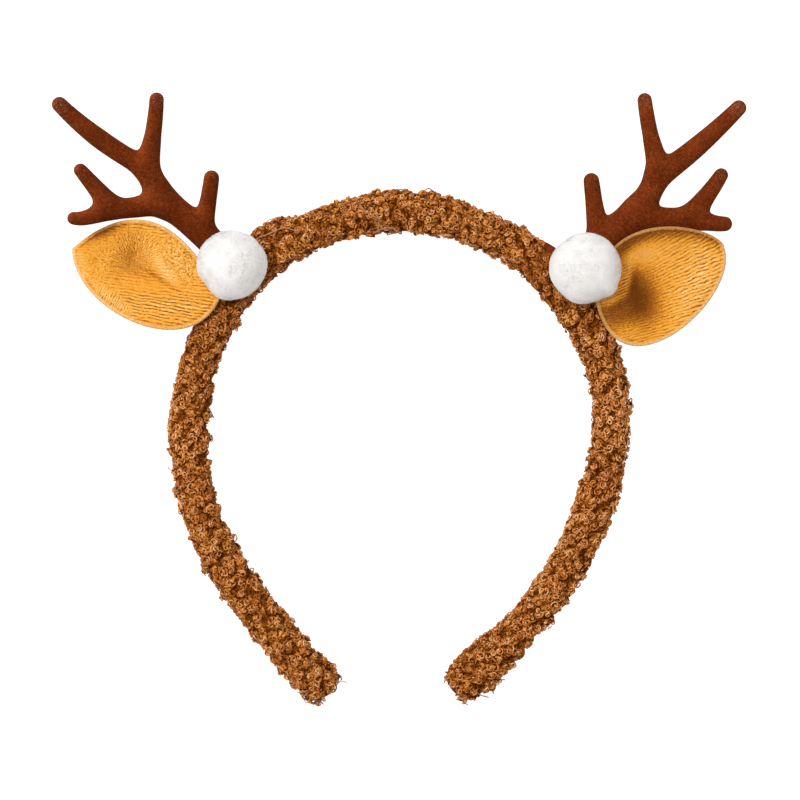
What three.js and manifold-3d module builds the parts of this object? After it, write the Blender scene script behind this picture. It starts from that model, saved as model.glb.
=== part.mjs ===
// A reindeer headband: an open hoop covered in curly bouclé, with a flocked antler, a velvet ear and a
// white pompom on each side. It lies on its back. X runs to the right and Y to the crown as seen from the
// front, Z rises from the surface to the front. Left and right are as seen from the front.
// Sizes are in millimetres and angles in degrees.

import * as THREE from "three";
import { ParametricGeometry } from "three/addons/geometries/ParametricGeometry.js";
import { mergeVertices } from "three/addons/utils/BufferGeometryUtils.js";
import Module from "manifold-3d";

const wasm = await Module();
wasm.setup();

const GAP = 0.3; // clearance between pieces that touch
const DEGREE = Math.PI / 180;
const TURN = 2 * Math.PI;

const BAND = {
  crownY: 60, // centreline at the crown
  thickness: 12.4, // seen from the front, over the pile
  depth: 15.8, // round section from back to front, before it is pressed flat below
  pressed: 1.2, // how far the surface presses the back in
  endRound: 4.2, // length of each rounded end
  lump: 0.45, // height of the lumps of the pile
  lumpSpacing: 9, // from lump to lump along the band
  smoothHalf: 17, // half length of the pressed pile under each ornament
  ornamentAt: 55, // from the crown along the centreline to each ornament
  rings: 120,
  capRings: 4,
  sides: 16,
};
const BAND_MIDDLE = BAND.depth / 2 - BAND.pressed;

// Tangent arcs of the band's centreline, from the crown down to each end.
const BAND_ARCS = {
  left: [
    { stretch: "crown", radius: 66.5, sweep: 61.5 },
    { stretch: "side", radius: 76.5, sweep: 58 },
    { stretch: "end", radius: 170, sweep: 19 },
  ],
  right: [
    { stretch: "crown", radius: 68.5, sweep: 73.5 },
    { stretch: "side", radius: 58.5, sweep: 28 },
    { stretch: "end", radius: 119, sweep: 42.5 },
  ],
};

const ANTLER = {
  middle: 7.2, // height of the antler's plane
  flatten: 0.8, // thickness over width of a branch
  footLength: 25, // along the band
  footWidth: 9.5, // back to front
  footHeight: 5.6, // outwards from the middle of the pile
  normal: 43, // direction of the foot from the band, for the right-hand antler
  steps: 6,
  capSteps: 2,
  sides: 8,
};

// Branches in the antler's plane, X outwards and Y to the crown from its foot, with a radius at each point
// and a lift of the tip towards the front. The right-hand antler is bent a little further down.
const LEFT_BRANCHES = [
  { name: "beam", from: [0, 0], via: [14, 14], to: [25, 22], radii: [4.5, 4.3, 4.4], lift: 0 },
  { name: "brow", from: [10.2, 13], via: [8.9, 22.5], to: [7.9, 28.7], radii: [3.4, 2.5, 2.4], lift: 1.2 },
  { name: "stem", from: [22.5, 20], via: [25.6, 25.5], to: [28.6, 31.5], radii: [4.9, 4.5, 4.1], lift: 0.4 },
  { name: "top", from: [28.3, 31], via: [26.6, 43], to: [25.5, 53.7], radii: [3.8, 2.4, 2.1], lift: 1.6 },
  { name: "long", from: [29, 30.5], via: [44, 41.6], to: [56.7, 52.4], radii: [4, 2.9, 2.2], lift: 1 },
  { name: "palm", from: [24, 21], via: [34, 19.3], to: [42, 19.6], radii: [4, 3.5, 3.2], lift: 0 },
  { name: "outer", from: [41, 19.6], via: [46.4, 26], to: [50, 31], radii: [3.1, 2.3, 1.9], lift: 0.8 },
  { name: "low", from: [41, 19], via: [47.2, 16.3], to: [52.2, 15.9], radii: [3.2, 2.3, 2], lift: -0.4 },
];
const RIGHT_BRANCHES = [
  { name: "beam", from: [0, 0], via: [12.5, 11.5], to: [24, 20.5], radii: [4.5, 4.4, 4.5], lift: 0 },
  { name: "brow", from: [10.4, 12.5], via: [9.3, 22.5], to: [8.5, 28.6], radii: [3.4, 2.5, 2.4], lift: 1.2 },
  { name: "stem", from: [22, 18.5], via: [25.8, 24.5], to: [28.4, 31], radii: [5, 4.5, 4.1], lift: 0.4 },
  { name: "top", from: [28.2, 31], via: [26.6, 43.5], to: [25.4, 54.3], radii: [3.8, 2.4, 2.1], lift: 1.6 },
  { name: "long", from: [28.6, 29], via: [42.5, 39.6], to: [56.4, 52.2], radii: [4.2, 3, 2.2], lift: 1 },
  { name: "palm", from: [21, 17.5], via: [33, 16.8], to: [41.5, 17], radii: [4.2, 3.5, 3.3], lift: 0 },
  { name: "outer", from: [41.5, 17.5], via: [46.6, 24.2], to: [50.3, 30.2], radii: [3.1, 2.3, 1.9], lift: 0.8 },
  { name: "low", from: [40.5, 16.6], via: [46.4, 15.4], to: [51.1, 15.1], radii: [3.2, 2.5, 2.2], lift: -0.4 },
];

const EAR = {
  wall: 2.2,
  slices: 32,
  reaches: [0, 0.25, 0.5, 0.72, 0.87, 0.94, 0.98, 1], // rings from the middle of the leaf to its rim
  rimFrom: 0.93, // where the rim starts to round off
};

// Each ear is a leaf between two edges from its root to its tip, given with their control points. Each fold
// is a ridge or hollow of its own length and width about a point.
const EARS = {
  left: {
    root: [-56.5, 33],
    tip: [-104, 48],
    upper: [[-64, 46.5], [-77.5, 71.5]],
    lower: [[-66.5, 11.5], [-102.5, 27.5]],
    rootZ: 15,
    tipZ: 10.5,
    cup: 2,
    folds: [
      { fold: "dimple", x: -85, y: 46, along: 30, length: 9, width: 6, rise: -2.5 },
      { fold: "ridge", x: -76, y: 42, along: -60, length: 9, width: 4.5, rise: 1.6 },
      { fold: "crease", x: -72.5, y: 36.5, along: -35, length: 9, width: 3.5, rise: -1.6 },
    ],
  },
  right: {
    root: [61.5, 35.5],
    tip: [103.5, 48.5],
    upper: [[66.5, 65], [104, 54.5]],
    lower: [[65.5, -5], [108.5, 34]],
    rootZ: 13.5,
    tipZ: 13,
    cup: 2,
    folds: [
      { fold: "well", x: 78, y: 32, along: 70, length: 13, width: 8, rise: -6 },
      { fold: "lip", x: 68, y: 37, along: 69, length: 12, width: 4, rise: 3 },
    ],
  },
};

const POMPOM = {
  radius: 11,
  lock: 0.5, // height of the fibre locks on the ball
  locks: 90,
  lockWidth: 13, // angle from the middle of a lock to its foot
  detail: 6,
};

const SIDES = {
  left: { mirror: -1, foot: [-52.2, 42.1], pompom: [-52.7, 42.6, 19.5], branches: LEFT_BRANCHES },
  right: { mirror: 1, foot: [53.1, 41.3], pompom: [58.6, 41.5, 19.5], branches: RIGHT_BRANCHES },
};

const COLOURS = {
  band: { color: 0x8f5423, roughness: 0.95, metalness: 0 },
  antler: { color: 0x6b2e14, roughness: 0.9, metalness: 0 },
  ear: { color: 0xe6a040, roughness: 0.8, metalness: 0 },
  pompom: { color: 0xf4f3f0, roughness: 0.95, metalness: 0 },
};

// Merges the shared vertices of a closed geometry, drops collapsed triangles and gives the solid.
function toSolid(geometry) {
  geometry.deleteAttribute("normal");
  geometry.deleteAttribute("uv");
  const merged = mergeVertices(geometry);
  const corners = merged.index.array;
  const triangles = [];
  for (let i = 0; i < corners.length; i += 3) {
    const [a, b, c] = corners.subarray(i, i + 3);
    if (a !== b && b !== c && c !== a) {
      triangles.push(a, b, c);
    }
  }
  const mesh = new wasm.Mesh({
    numProp: 3,
    vertProperties: new Float32Array(merged.attributes.position.array),
    triVerts: new Uint32Array(triangles),
  });
  return new wasm.Manifold(mesh);
}

function toMesh(name, solid, colours) {
  const { vertProperties, triVerts } = solid.getMesh();
  const geometry = new THREE.BufferGeometry();
  geometry.setAttribute("position", new THREE.BufferAttribute(vertProperties, 3));
  geometry.setIndex(new THREE.BufferAttribute(triVerts, 1));
  geometry.computeVertexNormals();
  const mesh = new THREE.Mesh(geometry, new THREE.MeshStandardMaterial(colours));
  mesh.name = name;
  return mesh;
}

// Where a ring of a round-ended tube stands: its place from 0 to 1 along the tube, how far the end rounding
// shrinks it, and how far it reaches beyond the tube's end.
function ringAt(v, rings, capRings) {
  const ring = v * rings;
  const fromEnd = Math.min(ring, rings - ring);
  const place = THREE.MathUtils.clamp((ring - capRings) / (rings - 2 * capRings), 0, 1);
  if (fromEnd >= capRings) {
    return { place, shrink: 1, beyond: 0 };
  }
  const angle = (fromEnd / capRings) * (Math.PI / 2);
  const end = ring < capRings ? -1 : 1;
  return { place, shrink: Math.sin(angle), beyond: end * Math.cos(angle) };
}

// One half of the band's centreline, arc after arc from the crown; `hand` is 1 for the right half.
function bandHalf(arcs, hand) {
  const path = new THREE.CurvePath();
  const end = new THREE.Vector2(0, BAND.crownY);
  let angle = Math.PI / 2;
  for (const { radius, sweep } of arcs) {
    const outward = new THREE.Vector2(Math.cos(angle), Math.sin(angle));
    const centre = end.clone().addScaledVector(outward, -radius);
    const next = angle - hand * sweep * DEGREE;
    path.add(new THREE.ArcCurve(centre.x, centre.y, radius, angle, next, hand > 0));
    end.set(centre.x + radius * Math.cos(next), centre.y + radius * Math.sin(next));
    angle = next;
  }
  return path;
}

const HALVES = { left: bandHalf(BAND_ARCS.left, -1), right: bandHalf(BAND_ARCS.right, 1) };
const LEFT_LENGTH = HALVES.left.getLength();
const RIGHT_LENGTH = HALVES.right.getLength();

// Point and forward direction on the centreline at a distance from the crown, negative on the left.
function bandSpine(distance) {
  const half = distance < 0 ? HALVES.left : HALVES.right;
  const share = Math.abs(distance) / (distance < 0 ? LEFT_LENGTH : RIGHT_LENGTH);
  const forward = half.getTangentAt(share).multiplyScalar(distance < 0 ? -1 : 1);
  return { point: half.getPointAt(share), forward };
}

// Lumps of the pile, pressed flat under the ornaments.
function pileLump(distance, angle) {
  const fromOrnament = Math.abs(Math.abs(distance) - BAND.ornamentAt) / BAND.smoothHalf;
  const free = THREE.MathUtils.smoothstep(fromOrnament, 0.8, 1.3);
  const along = (TURN * distance) / BAND.lumpSpacing;
  return BAND.lump * free * (Math.sin(along + 3 * angle) + Math.sin(0.6 * along - 2 * angle)) / 2;
}

function bandSolid(grow) {
  const place = (u, v, target) => {
    const ring = ringAt(v, BAND.rings, BAND.capRings);
    const distance = THREE.MathUtils.lerp(-LEFT_LENGTH, RIGHT_LENGTH, ring.place);
    const { point, forward } = bandSpine(distance);
    const angle = u * TURN;
    const lump = pileLump(distance, angle) + grow;
    const out = ring.shrink * (BAND.thickness / 2 + lump) * Math.cos(angle);
    const front = ring.shrink * (BAND.depth / 2 + lump) * Math.sin(angle);
    const onward = ring.beyond * (BAND.endRound + grow);
    target.set(
      point.x - out * forward.y + onward * forward.x,
      point.y + out * forward.x + onward * forward.y,
      Math.max(BAND_MIDDLE + front, -grow),
    );
  };
  return toSolid(new ParametricGeometry(place, BAND.sides, BAND.rings));
}

// One round-ended, tapering branch of an antler.
function branchSolid({ from, via, to, radii, lift }, { mirror, foot }, grow) {
  const points = [from, via, to].map(([x, y], i) => new THREE.Vector3(x, y, (lift * i * i) / 4));
  const spine = new THREE.CatmullRomCurve3(points);
  const place = (u, v, target) => {
    const ring = ringAt(v, ANTLER.steps + 2 * ANTLER.capSteps, ANTLER.capSteps);
    const [near, far] = ring.place < 0.5 ? [radii[0], radii[1]] : [radii[1], radii[2]];
    const radius = THREE.MathUtils.lerp(near, far, (2 * ring.place) % 1 || Math.floor(ring.place)) + grow;
    const centre = spine.getPoint(ring.place);
    const forward = spine.getTangent(ring.place);
    const angle = mirror * u * TURN;
    const across = ring.shrink * radius * Math.cos(angle);
    const front = ring.shrink * (ANTLER.flatten * (radius - grow) + grow) * Math.sin(angle);
    const onward = ring.beyond * radius;
    target.set(
      foot[0] + mirror * (centre.x - across * forward.y + onward * forward.x),
      foot[1] + centre.y + across * forward.x + onward * forward.y,
      ANTLER.middle + centre.z + front,
    );
  };
  return toSolid(new ParametricGeometry(place, ANTLER.sides, ANTLER.steps + 2 * ANTLER.capSteps));
}

// The oval foot plate that carries the antler on the band.
function footSolid({ mirror, foot }, grow) {
  const plate = new THREE.SphereGeometry(1, 16, 8);
  plate.scale(ANTLER.footHeight + grow, ANTLER.footLength / 2 + grow, ANTLER.footWidth / 2 + grow);
  plate.rotateZ(mirror > 0 ? ANTLER.normal * DEGREE : Math.PI - ANTLER.normal * DEGREE);
  plate.translate(foot[0], foot[1], ANTLER.middle);
  return toSolid(plate);
}

function antlerSolid(side, grow) {
  return side.branches.reduce(
    (solid, branch) => solid.add(branchSolid(branch, side, grow)),
    footSolid(side, grow),
  );
}

const flat = ([x, y]) => new THREE.Vector2(x, y);

// The ear's outline clockwise from its root, as a function from 0 to 1 with the tip at one half.
function earOutline(ear, mirror) {
  const edge = ([a, b]) => new THREE.CubicBezierCurve(flat(ear.root), flat(a), flat(b), flat(ear.tip));
  const outgoing = edge(mirror > 0 ? ear.upper : ear.lower);
  const returning = edge(mirror > 0 ? ear.lower : ear.upper);
  return (u) => (u < 0.5 ? outgoing.getPointAt(2 * u) : returning.getPointAt(2 - 2 * u));
}

// Height of the ear's middle surface: a slope from root to tip, a cup towards the rim, and the folds.
function earHeight(ear, point, reach) {
  const axis = flat(ear.tip).sub(flat(ear.root));
  const share = point.clone().sub(flat(ear.root)).dot(axis) / axis.lengthSq();
  let height = THREE.MathUtils.lerp(ear.rootZ, ear.tipZ, share) + ear.cup * reach ** 2;
  for (const { x, y, along, length, width, rise } of ear.folds) {
    const offset = point.clone().sub(flat([x, y])).rotateAround(flat([0, 0]), -along * DEGREE);
    height += rise * Math.exp(-((offset.x / length) ** 2) - (offset.y / width) ** 2);
  }
  return height;
}

function earSolid(ear, { mirror }, grow) {
  const outline = earOutline(ear, mirror);
  const middle = flat(ear.root).lerp(flat(ear.tip), 0.5);
  const last = EAR.reaches.length - 1;
  const place = (u, v, target) => {
    const ring = Math.round(v * 2 * last);
    const face = ring < last ? 1 : -1;
    const reach = EAR.reaches[ring < last ? ring : 2 * last - ring];
    const edge = outline(u);
    const outward = edge.clone().sub(middle).setLength(grow);
    const point = middle.clone().lerp(edge, reach);
    const rounding = Math.max(0, (reach - EAR.rimFrom) / (1 - EAR.rimFrom));
    const half = (EAR.wall / 2 + grow) * Math.sqrt(1 - rounding ** 2);
    target.set(
      point.x + outward.x * reach,
      point.y + outward.y * reach,
      earHeight(ear, point, reach) + face * half,
    );
  };
  return toSolid(new ParametricGeometry(place, EAR.slices, 2 * last));
}

// Middles of the locks, spread evenly over a ball.
function lockDirections(count) {
  const golden = Math.PI * (3 - Math.sqrt(5));
  return Array.from({ length: count }, (_, i) => {
    const z = 1 - (2 * i + 1) / count;
    const across = Math.sqrt(1 - z * z);
    return new THREE.Vector3(across * Math.cos(golden * i), across * Math.sin(golden * i), z);
  });
}

// A ball of short fibre: rounded locks raised on a head.
function pompomSolid([x, y, z]) {
  const locks = lockDirections(POMPOM.locks);
  const ball = new THREE.IcosahedronGeometry(1, POMPOM.detail);
  const points = ball.attributes.position;
  const direction = new THREE.Vector3();
  for (let i = 0; i < points.count; i += 1) {
    direction.fromBufferAttribute(points, i).normalize();
    const nearest = Math.max(...locks.map((lock) => lock.dot(direction)));
    const fromLock = Math.acos(Math.min(nearest, 1)) / (POMPOM.lockWidth * DEGREE);
    direction.multiplyScalar(POMPOM.radius + POMPOM.lock * (1 - Math.min(fromLock, 1) ** 2));
    points.setXYZ(i, x + direction.x, y + direction.y, z + direction.z);
  }
  return toSolid(ball);
}

const headband = new THREE.Group();
headband.add(toMesh("band", bandSolid(0), COLOURS.band));

const bandRoom = bandSolid(GAP);
for (const [name, side] of Object.entries(SIDES)) {
  const ear = EARS[name];
  const antlerRoom = antlerSolid(side, GAP);
  const earRoom = earSolid(ear, side, GAP);
  const antler = antlerSolid(side, 0).subtract(bandRoom);
  const leaf = earSolid(ear, side, 0).subtract(bandRoom).subtract(antlerRoom);
  const pompom = pompomSolid(side.pompom).subtract(bandRoom).subtract(antlerRoom).subtract(earRoom);
  headband.add(toMesh(`antler_${name}`, antler, COLOURS.antler));
  headband.add(toMesh(`ear_${name}`, leaf, COLOURS.ear));
  headband.add(toMesh(`pompom_${name}`, pompom, COLOURS.pompom));
}

export default headband;
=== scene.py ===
import bpy
import numpy as np
import openvdb
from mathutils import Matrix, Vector


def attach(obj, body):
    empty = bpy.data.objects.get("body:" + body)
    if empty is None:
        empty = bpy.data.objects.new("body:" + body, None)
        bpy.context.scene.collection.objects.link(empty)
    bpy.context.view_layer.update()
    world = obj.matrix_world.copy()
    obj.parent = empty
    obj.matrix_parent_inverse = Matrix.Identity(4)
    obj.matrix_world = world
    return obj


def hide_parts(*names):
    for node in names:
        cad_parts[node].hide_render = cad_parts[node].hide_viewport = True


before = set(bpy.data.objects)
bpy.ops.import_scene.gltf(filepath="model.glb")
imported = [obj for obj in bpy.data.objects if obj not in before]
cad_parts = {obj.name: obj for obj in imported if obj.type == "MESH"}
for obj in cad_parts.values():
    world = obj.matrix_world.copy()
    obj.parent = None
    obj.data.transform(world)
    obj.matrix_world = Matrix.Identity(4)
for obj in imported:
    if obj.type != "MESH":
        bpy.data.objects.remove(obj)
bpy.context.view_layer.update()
mm = 0.001  # sizes below are in millimetres, meshes in metres
turn = 2 * np.pi
tiny = 1e-9
print("frame loaded:", sorted(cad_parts))


# camera, straight down on the lying headband

cameraSetup = {
    "mmPerPixel": 0.32,  # at the height of the antlers
    "pixels": 800,
    "planeHeight": 7.0,
    "distance": 1000.0,
    "middle": (0.24, -0.16),  # what the frame's centre looks at
    "sensor": 36.0,
    "clip": (0.01, 10.0),
}


def putObject(name, data):
    made = bpy.data.objects.new(name, data)
    bpy.context.scene.collection.objects.link(made)
    return made


def addCamera(setup):
    data = bpy.data.cameras.new("frontCamera")
    data.sensor_width = setup["sensor"]
    data.lens = setup["sensor"] * setup["distance"] / (setup["mmPerPixel"] * setup["pixels"])
    data.clip_start, data.clip_end = setup["clip"]
    camera = putObject("frontCamera", data)
    x, y = setup["middle"]
    camera.location = (x * mm, y * mm, (setup["distance"] + setup["planeHeight"]) * mm)
    bpy.context.scene.camera = camera


addCamera(cameraSetup)
print("camera placed")


# mesh helpers

strandSides = 3  # corners of a strand's profile, so that its end caps are triangles
waveSpread = (0.75, 1.35)  # wavelengths in a ripple field, as shares of the one asked for


def putMesh(name, points, quads, triangles, material, smooth=True):
    # points in millimetres, faces as whole index arrays
    mesh = bpy.data.meshes.new(name)
    corners = np.concatenate([quads.ravel(), triangles.ravel()]).astype(np.int32)
    starts = np.concatenate([4 * np.arange(len(quads)), 4 * len(quads) + 3 * np.arange(len(triangles))])
    mesh.vertices.add(len(points))
    mesh.vertices.foreach_set("co", (points * mm).astype(np.float32).ravel())
    mesh.loops.add(len(corners))
    mesh.loops.foreach_set("vertex_index", corners)
    mesh.polygons.add(len(starts))
    mesh.polygons.foreach_set("loop_start", starts.astype(np.int32))
    mesh.update(calc_edges=True)
    if smooth:
        mesh.shade_smooth()
    mesh.materials.append(material)
    return putObject(name, mesh)


def putMark(piece, name, values):
    layer = piece.data.attributes.new(name, "FLOAT", "POINT")
    layer.data.foreach_set("value", np.asarray(values, np.float32))


def tubeQuads(count, rings, columns):
    # quads between the closed rings of many separate tubes
    tube, ring, column = np.meshgrid(*(np.arange(n) for n in (count, rings - 1, columns)), indexing="ij")
    near, after = (tube * rings + ring) * columns, (column + 1) % columns
    far = near + columns
    return np.stack([near + column, near + after, far + after, far + column], -1).reshape(-1, 4)


def closedRings(rings, startPole, endPole):
    # a closed skin over a stack of rings, with a fan to a pole at each end; the poles are the last two points
    ringCount, columns, _ = rings.shape
    points = np.concatenate([rings.reshape(-1, 3), np.reshape([startPole, endPole], (2, 3))])
    k = np.arange(columns)
    after, last, pole = (k + 1) % columns, (ringCount - 1) * columns, np.full(columns, ringCount * columns)
    fans = [np.stack([pole, after, k], -1), np.stack([pole + 1, last + k, last + after], -1)]
    return points, tubeQuads(1, ringCount, columns), np.concatenate(fans)


def unitRows(rows):
    return rows / np.linalg.norm(rows, axis=-1, keepdims=True)


def squareTo(rows, axis):
    # unit rows across an axis: each row less its share along that axis
    return unitRows(rows - np.sum(rows * axis, axis=-1, keepdims=True) * axis)


def onCircle(angle):
    return np.stack([np.cos(angle), np.sin(angle)], -1)


def strandPoints(paths, radii, axes):
    # a round profile carried along each path: axes hold a direction that no path runs along
    along = unitRows(np.gradient(paths, axis=1))
    first = squareTo(axes[:, None, :], along)
    second = np.cross(along, first)
    angle = turn * np.arange(strandSides)[:, None] / strandSides
    ring = first[:, :, None, :] * np.cos(angle) + second[:, :, None, :] * np.sin(angle)
    return paths[:, :, None, :] + radii[:, :, None, None] * ring


def putStrands(name, paths, radii, axes, material, marks):
    # many strands as one mesh, flat at both ends, with one value of each mark for every strand point
    count, steps, _ = paths.shape
    points, quads = strandPoints(paths, radii, axes).reshape(-1, 3), tubeQuads(count, steps, strandSides)
    corner, first = np.arange(strandSides), np.arange(count)[:, None] * steps * strandSides
    caps = np.concatenate([first + corner[::-1], first + (steps - 1) * strandSides + corner])
    piece = putMesh(name, points, quads, caps, material)
    for markName, values in marks.items():
        putMark(piece, markName, np.repeat(values.ravel(), strandSides))
    return piece


def taper(steps, least, slope):
    # share of a strand's radius along it: thinner at both ends
    t = np.linspace(0, 1, steps)
    return np.minimum(1, least + slope * np.minimum(t, 1 - t))


def wavering(count, steps, waves, draw):
    # a sine along each strand, with a drawn number of waves and a drawn start
    each = (count, 1)
    return np.sin(turn * (draw.uniform(*waves, each) * np.linspace(0, 1, steps) + draw.random(each)))


def rippleField(points, wavelength, seed, waves=28):
    # sum of plane waves of about one wavelength in random directions: a smooth random field of unit spread
    draw = np.random.default_rng(seed)
    heading = unitRows(draw.normal(size=(waves, 3)))
    number = turn / (wavelength * draw.uniform(*waveSpread, waves))
    phase = draw.uniform(0, turn, waves)
    flat = points.reshape(-1, 3)
    total = np.zeros(len(flat))
    for direction, k, p in zip(heading, number, phase):
        total += np.cos(flat @ direction * k + p)
    return (total * np.sqrt(2 / waves)).reshape(points.shape[:-1])


def ripples(points, rows):
    # ripple fields added up, each from a depth, a wavelength and a seed
    return sum(depth * rippleField(points, wavelength, seed) for depth, wavelength, seed in rows)


def smoothStep(values, low, high):
    t = np.clip((values - low) / (high - low), 0, 1)
    return t * t * (3 - 2 * t)


def fadeIn(values, low, high, least):
    # rises from least to 1 between low and high
    return least + (1 - least) * smoothStep(values, low, high)


def bell(x, y, row):
    # a long bell turned by its direction: 1 in the middle, fading over its length and width
    atX, atY, direction, length, width = row[:5]
    c, s = np.cos(np.radians(direction)), np.sin(np.radians(direction))
    dx, dy = x - atX, y - atY
    return np.exp(-(((c * dx + s * dy) / length) ** 2) - ((c * dy - s * dx) / width) ** 2)


def bells(x, y, rows):
    # bells added up, each with the height at the end of its row
    return sum(row[5] * bell(x, y, row) for row in rows)


def evenlySpaced(line, count):
    # points at even distances along a line in plan
    along = np.concatenate([[0], np.cumsum(np.linalg.norm(np.diff(line, axis=0), axis=1))])
    at = np.linspace(0, along[-1], count)
    return np.stack([np.interp(at, along, line[:, k]) for k in range(2)], -1)


def finishPiece(piece, node):
    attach(piece, "root")
    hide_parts(node)


# shader groups and material helpers

noiseRange = (0.3, 0.7)  # where most values of a noise texture lie
sheenRoughness = 0.4


def newGroup(name, inputs, outputs):
    # a shader group whose sockets are all plain values
    group = bpy.data.node_groups.new(name, "ShaderNodeTree")
    for socketName, default in inputs.items():
        socket = group.interface.new_socket(socketName, in_out="INPUT", socket_type="NodeSocketFloat")
        socket.default_value = default
    for socketName in outputs:
        group.interface.new_socket(socketName, in_out="OUTPUT", socket_type="NodeSocketFloat")
    return group, group.nodes.new("NodeGroupInput").outputs, group.nodes.new("NodeGroupOutput").inputs


def addNode(tree, kind, settings=None, **sockets):
    # sockets go by name, or by number as i0, i1 and so on; each takes a value or a link
    node = tree.nodes.new(kind)
    for key, value in (settings or {}).items():
        setattr(node, key, value)
    for key, value in sockets.items():
        target = node.inputs[int(key[1:])] if key[0] == "i" and key[1:].isdigit() else node.inputs[key]
        if isinstance(value, bpy.types.NodeSocket):
            tree.links.new(value, target)
        else:
            target.default_value = value
    return node


def mathNode(tree, operation, a, b=0.0, clamp=False):
    settings = {"operation": operation, "use_clamp": clamp}
    return addNode(tree, "ShaderNodeMath", settings, i0=a, i1=b).outputs[0]


def mixColour(tree, share, a, b):
    return addNode(tree, "ShaderNodeMix", {"data_type": "RGBA"}, i0=share, i6=a, i7=b).outputs[2]


def mixValue(tree, share, a, b):
    return addNode(tree, "ShaderNodeMix", {"data_type": "FLOAT"}, i0=share, i2=a, i3=b).outputs[0]


def stretch(tree, value, low, high, toLow=0.0, toHigh=1.0):
    return addNode(tree, "ShaderNodeMapRange", i0=value, i1=low, i2=high, i3=toLow, i4=toHigh).outputs[0]


def noiseNode(tree, place, scale, detail):
    return addNode(tree, "ShaderNodeTexNoise", Vector=place, Scale=scale, Detail=detail).outputs[0]


def makeGrain():
    # fine and coarse noise over the surface: masks for colour and a height for bump
    group, enter, leave = newGroup(
        "fibreGrain", {"Fine": 3000.0, "Coarse": 300.0, "Mix": 0.5}, ("Mask", "Height", "Mottle"),
    )
    place = group.nodes.new("ShaderNodeTexCoord").outputs["Object"]
    fine = stretch(group, noiseNode(group, place, enter["Fine"], 2.0), *noiseRange)
    mottle = stretch(group, noiseNode(group, place, enter["Coarse"], 3.0), *noiseRange)
    group.links.new(mixValue(group, enter["Mix"], fine, mottle), leave["Mask"])
    group.links.new(fine, leave["Height"])
    group.links.new(mottle, leave["Mottle"])
    return group


def makeLoops():
    # small loops lying on a surface: waves around the middles of scattered cells, jostled by noise
    group, enter, leave = newGroup("yarnLoops", {"Scale": 550.0, "Waves": 13.0, "Jostle": 6.0}, ("Height",))
    place = group.nodes.new("ShaderNodeTexCoord").outputs["Object"]
    cells = addNode(group, "ShaderNodeTexVoronoi", Vector=place, Scale=enter["Scale"]).outputs["Distance"]
    jostle = noiseNode(group, place, enter["Scale"], 1.0)
    phase = mathNode(group, "MULTIPLY", cells, enter["Waves"])
    phase = mathNode(group, "ADD", phase, mathNode(group, "MULTIPLY", jostle, enter["Jostle"]))
    group.links.new(stretch(group, mathNode(group, "SINE", phase), -1.0, 1.0), leave["Height"])
    return group


fibreGrain, yarnLoops = makeGrain(), makeLoops()


def placeGroup(tree, group, **sockets):
    return addNode(tree, "ShaderNodeGroup", {"node_tree": group}, **sockets).outputs


def setSockets(node, values):
    for key, value in values.items():
        node.inputs[key].default_value = value


def newMaterial(name, look):
    # the look's own numbers on a Principled shader, and the look's grain
    material = bpy.data.materials.new(name)
    material.use_nodes = True
    tree = material.node_tree
    shader = tree.nodes["Principled BSDF"]
    setSockets(shader, {"Sheen Roughness": sheenRoughness, **look["shader"]})
    return material, tree, shader, placeGroup(tree, fibreGrain, **look["grain"])


def readMark(tree, name):
    return addNode(tree, "ShaderNodeAttribute", {"attribute_name": name}).outputs["Fac"]


def colourRamp(tree, share, stops):
    node = addNode(tree, "ShaderNodeValToRGB", Fac=share)
    ramp = node.color_ramp
    while len(ramp.elements) < len(stops):
        ramp.elements.new(0.5)
    for element, (place, colour) in zip(ramp.elements, stops):
        element.position, element.color = place, (*colour, 1)
    return node.outputs[0]


def paint(tree, shader, colour):
    tree.links.new(colour, shader.inputs["Base Color"])


def bumpInto(tree, shader, height, strength, distance):
    bump = addNode(tree, "ShaderNodeBump", Strength=strength, Distance=distance * mm, Height=height)
    tree.links.new(bump.outputs[0], shader.inputs["Normal"])


# band: an open hoop along tangent arcs, covered in curls

yarnLook = {
    "shader": {"Roughness": 0.4, "Specular IOR Level": 0.2},
    "grain": {"Fine": 2600.0, "Coarse": 240.0, "Mix": 0.4},
    "grainShare": 0.3,
    "tones": (0.15, 0.85, 0.15, 1.3),  # from these tones to these places among the stops
    "bump": (0.4, 0.06),  # strength, and depth in millimetres
    "stops": (
        (0.0, (0.09, 0.017, 0.001)), (0.4, (0.50, 0.138, 0.010)),
        (0.8, (0.93, 0.41, 0.135)), (1.0, (1.0, 0.64, 0.33)),
    ),
}


def makeYarn():
    # curls are darker where they lie deep in the pile, a painted shade, and each has a tone of its own; the
    # palest stops are painted highlights
    material, tree, shader, grain = newMaterial("boucleYarn", yarnLook)
    tone = mixValue(tree, yarnLook["grainShare"], readMark(tree, "tone"), grain["Mask"])
    share = mathNode(tree, "MULTIPLY", stretch(tree, tone, *yarnLook["tones"]), readMark(tree, "lift"))
    paint(tree, shader, colourRamp(tree, share, yarnLook["stops"]))
    bumpInto(tree, shader, grain["Height"], *yarnLook["bump"])
    return material


fillLook = {
    "shader": {"Roughness": 0.7, "Specular IOR Level": 0.02},
    "grain": {"Fine": 1500.0, "Coarse": 330.0, "Mix": 0.5},
    "loops": {"Scale": 620.0, "Waves": 5.0, "Jostle": 17.0},
    "loopShare": 0.55,
    "contrast": (0.22, 0.78),
    "raised": (0.0, 1.0, 0.48, 1.1),  # from these heights of the tufts to these tones: painted shade low between the tufts
    "bump": (1.0, 0.35),
    "stops": ((0.0, (0.06, 0.011, 0.0006)), (0.45, (0.29, 0.077, 0.005)), (1.0, (0.80, 0.33, 0.075))),
}


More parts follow.
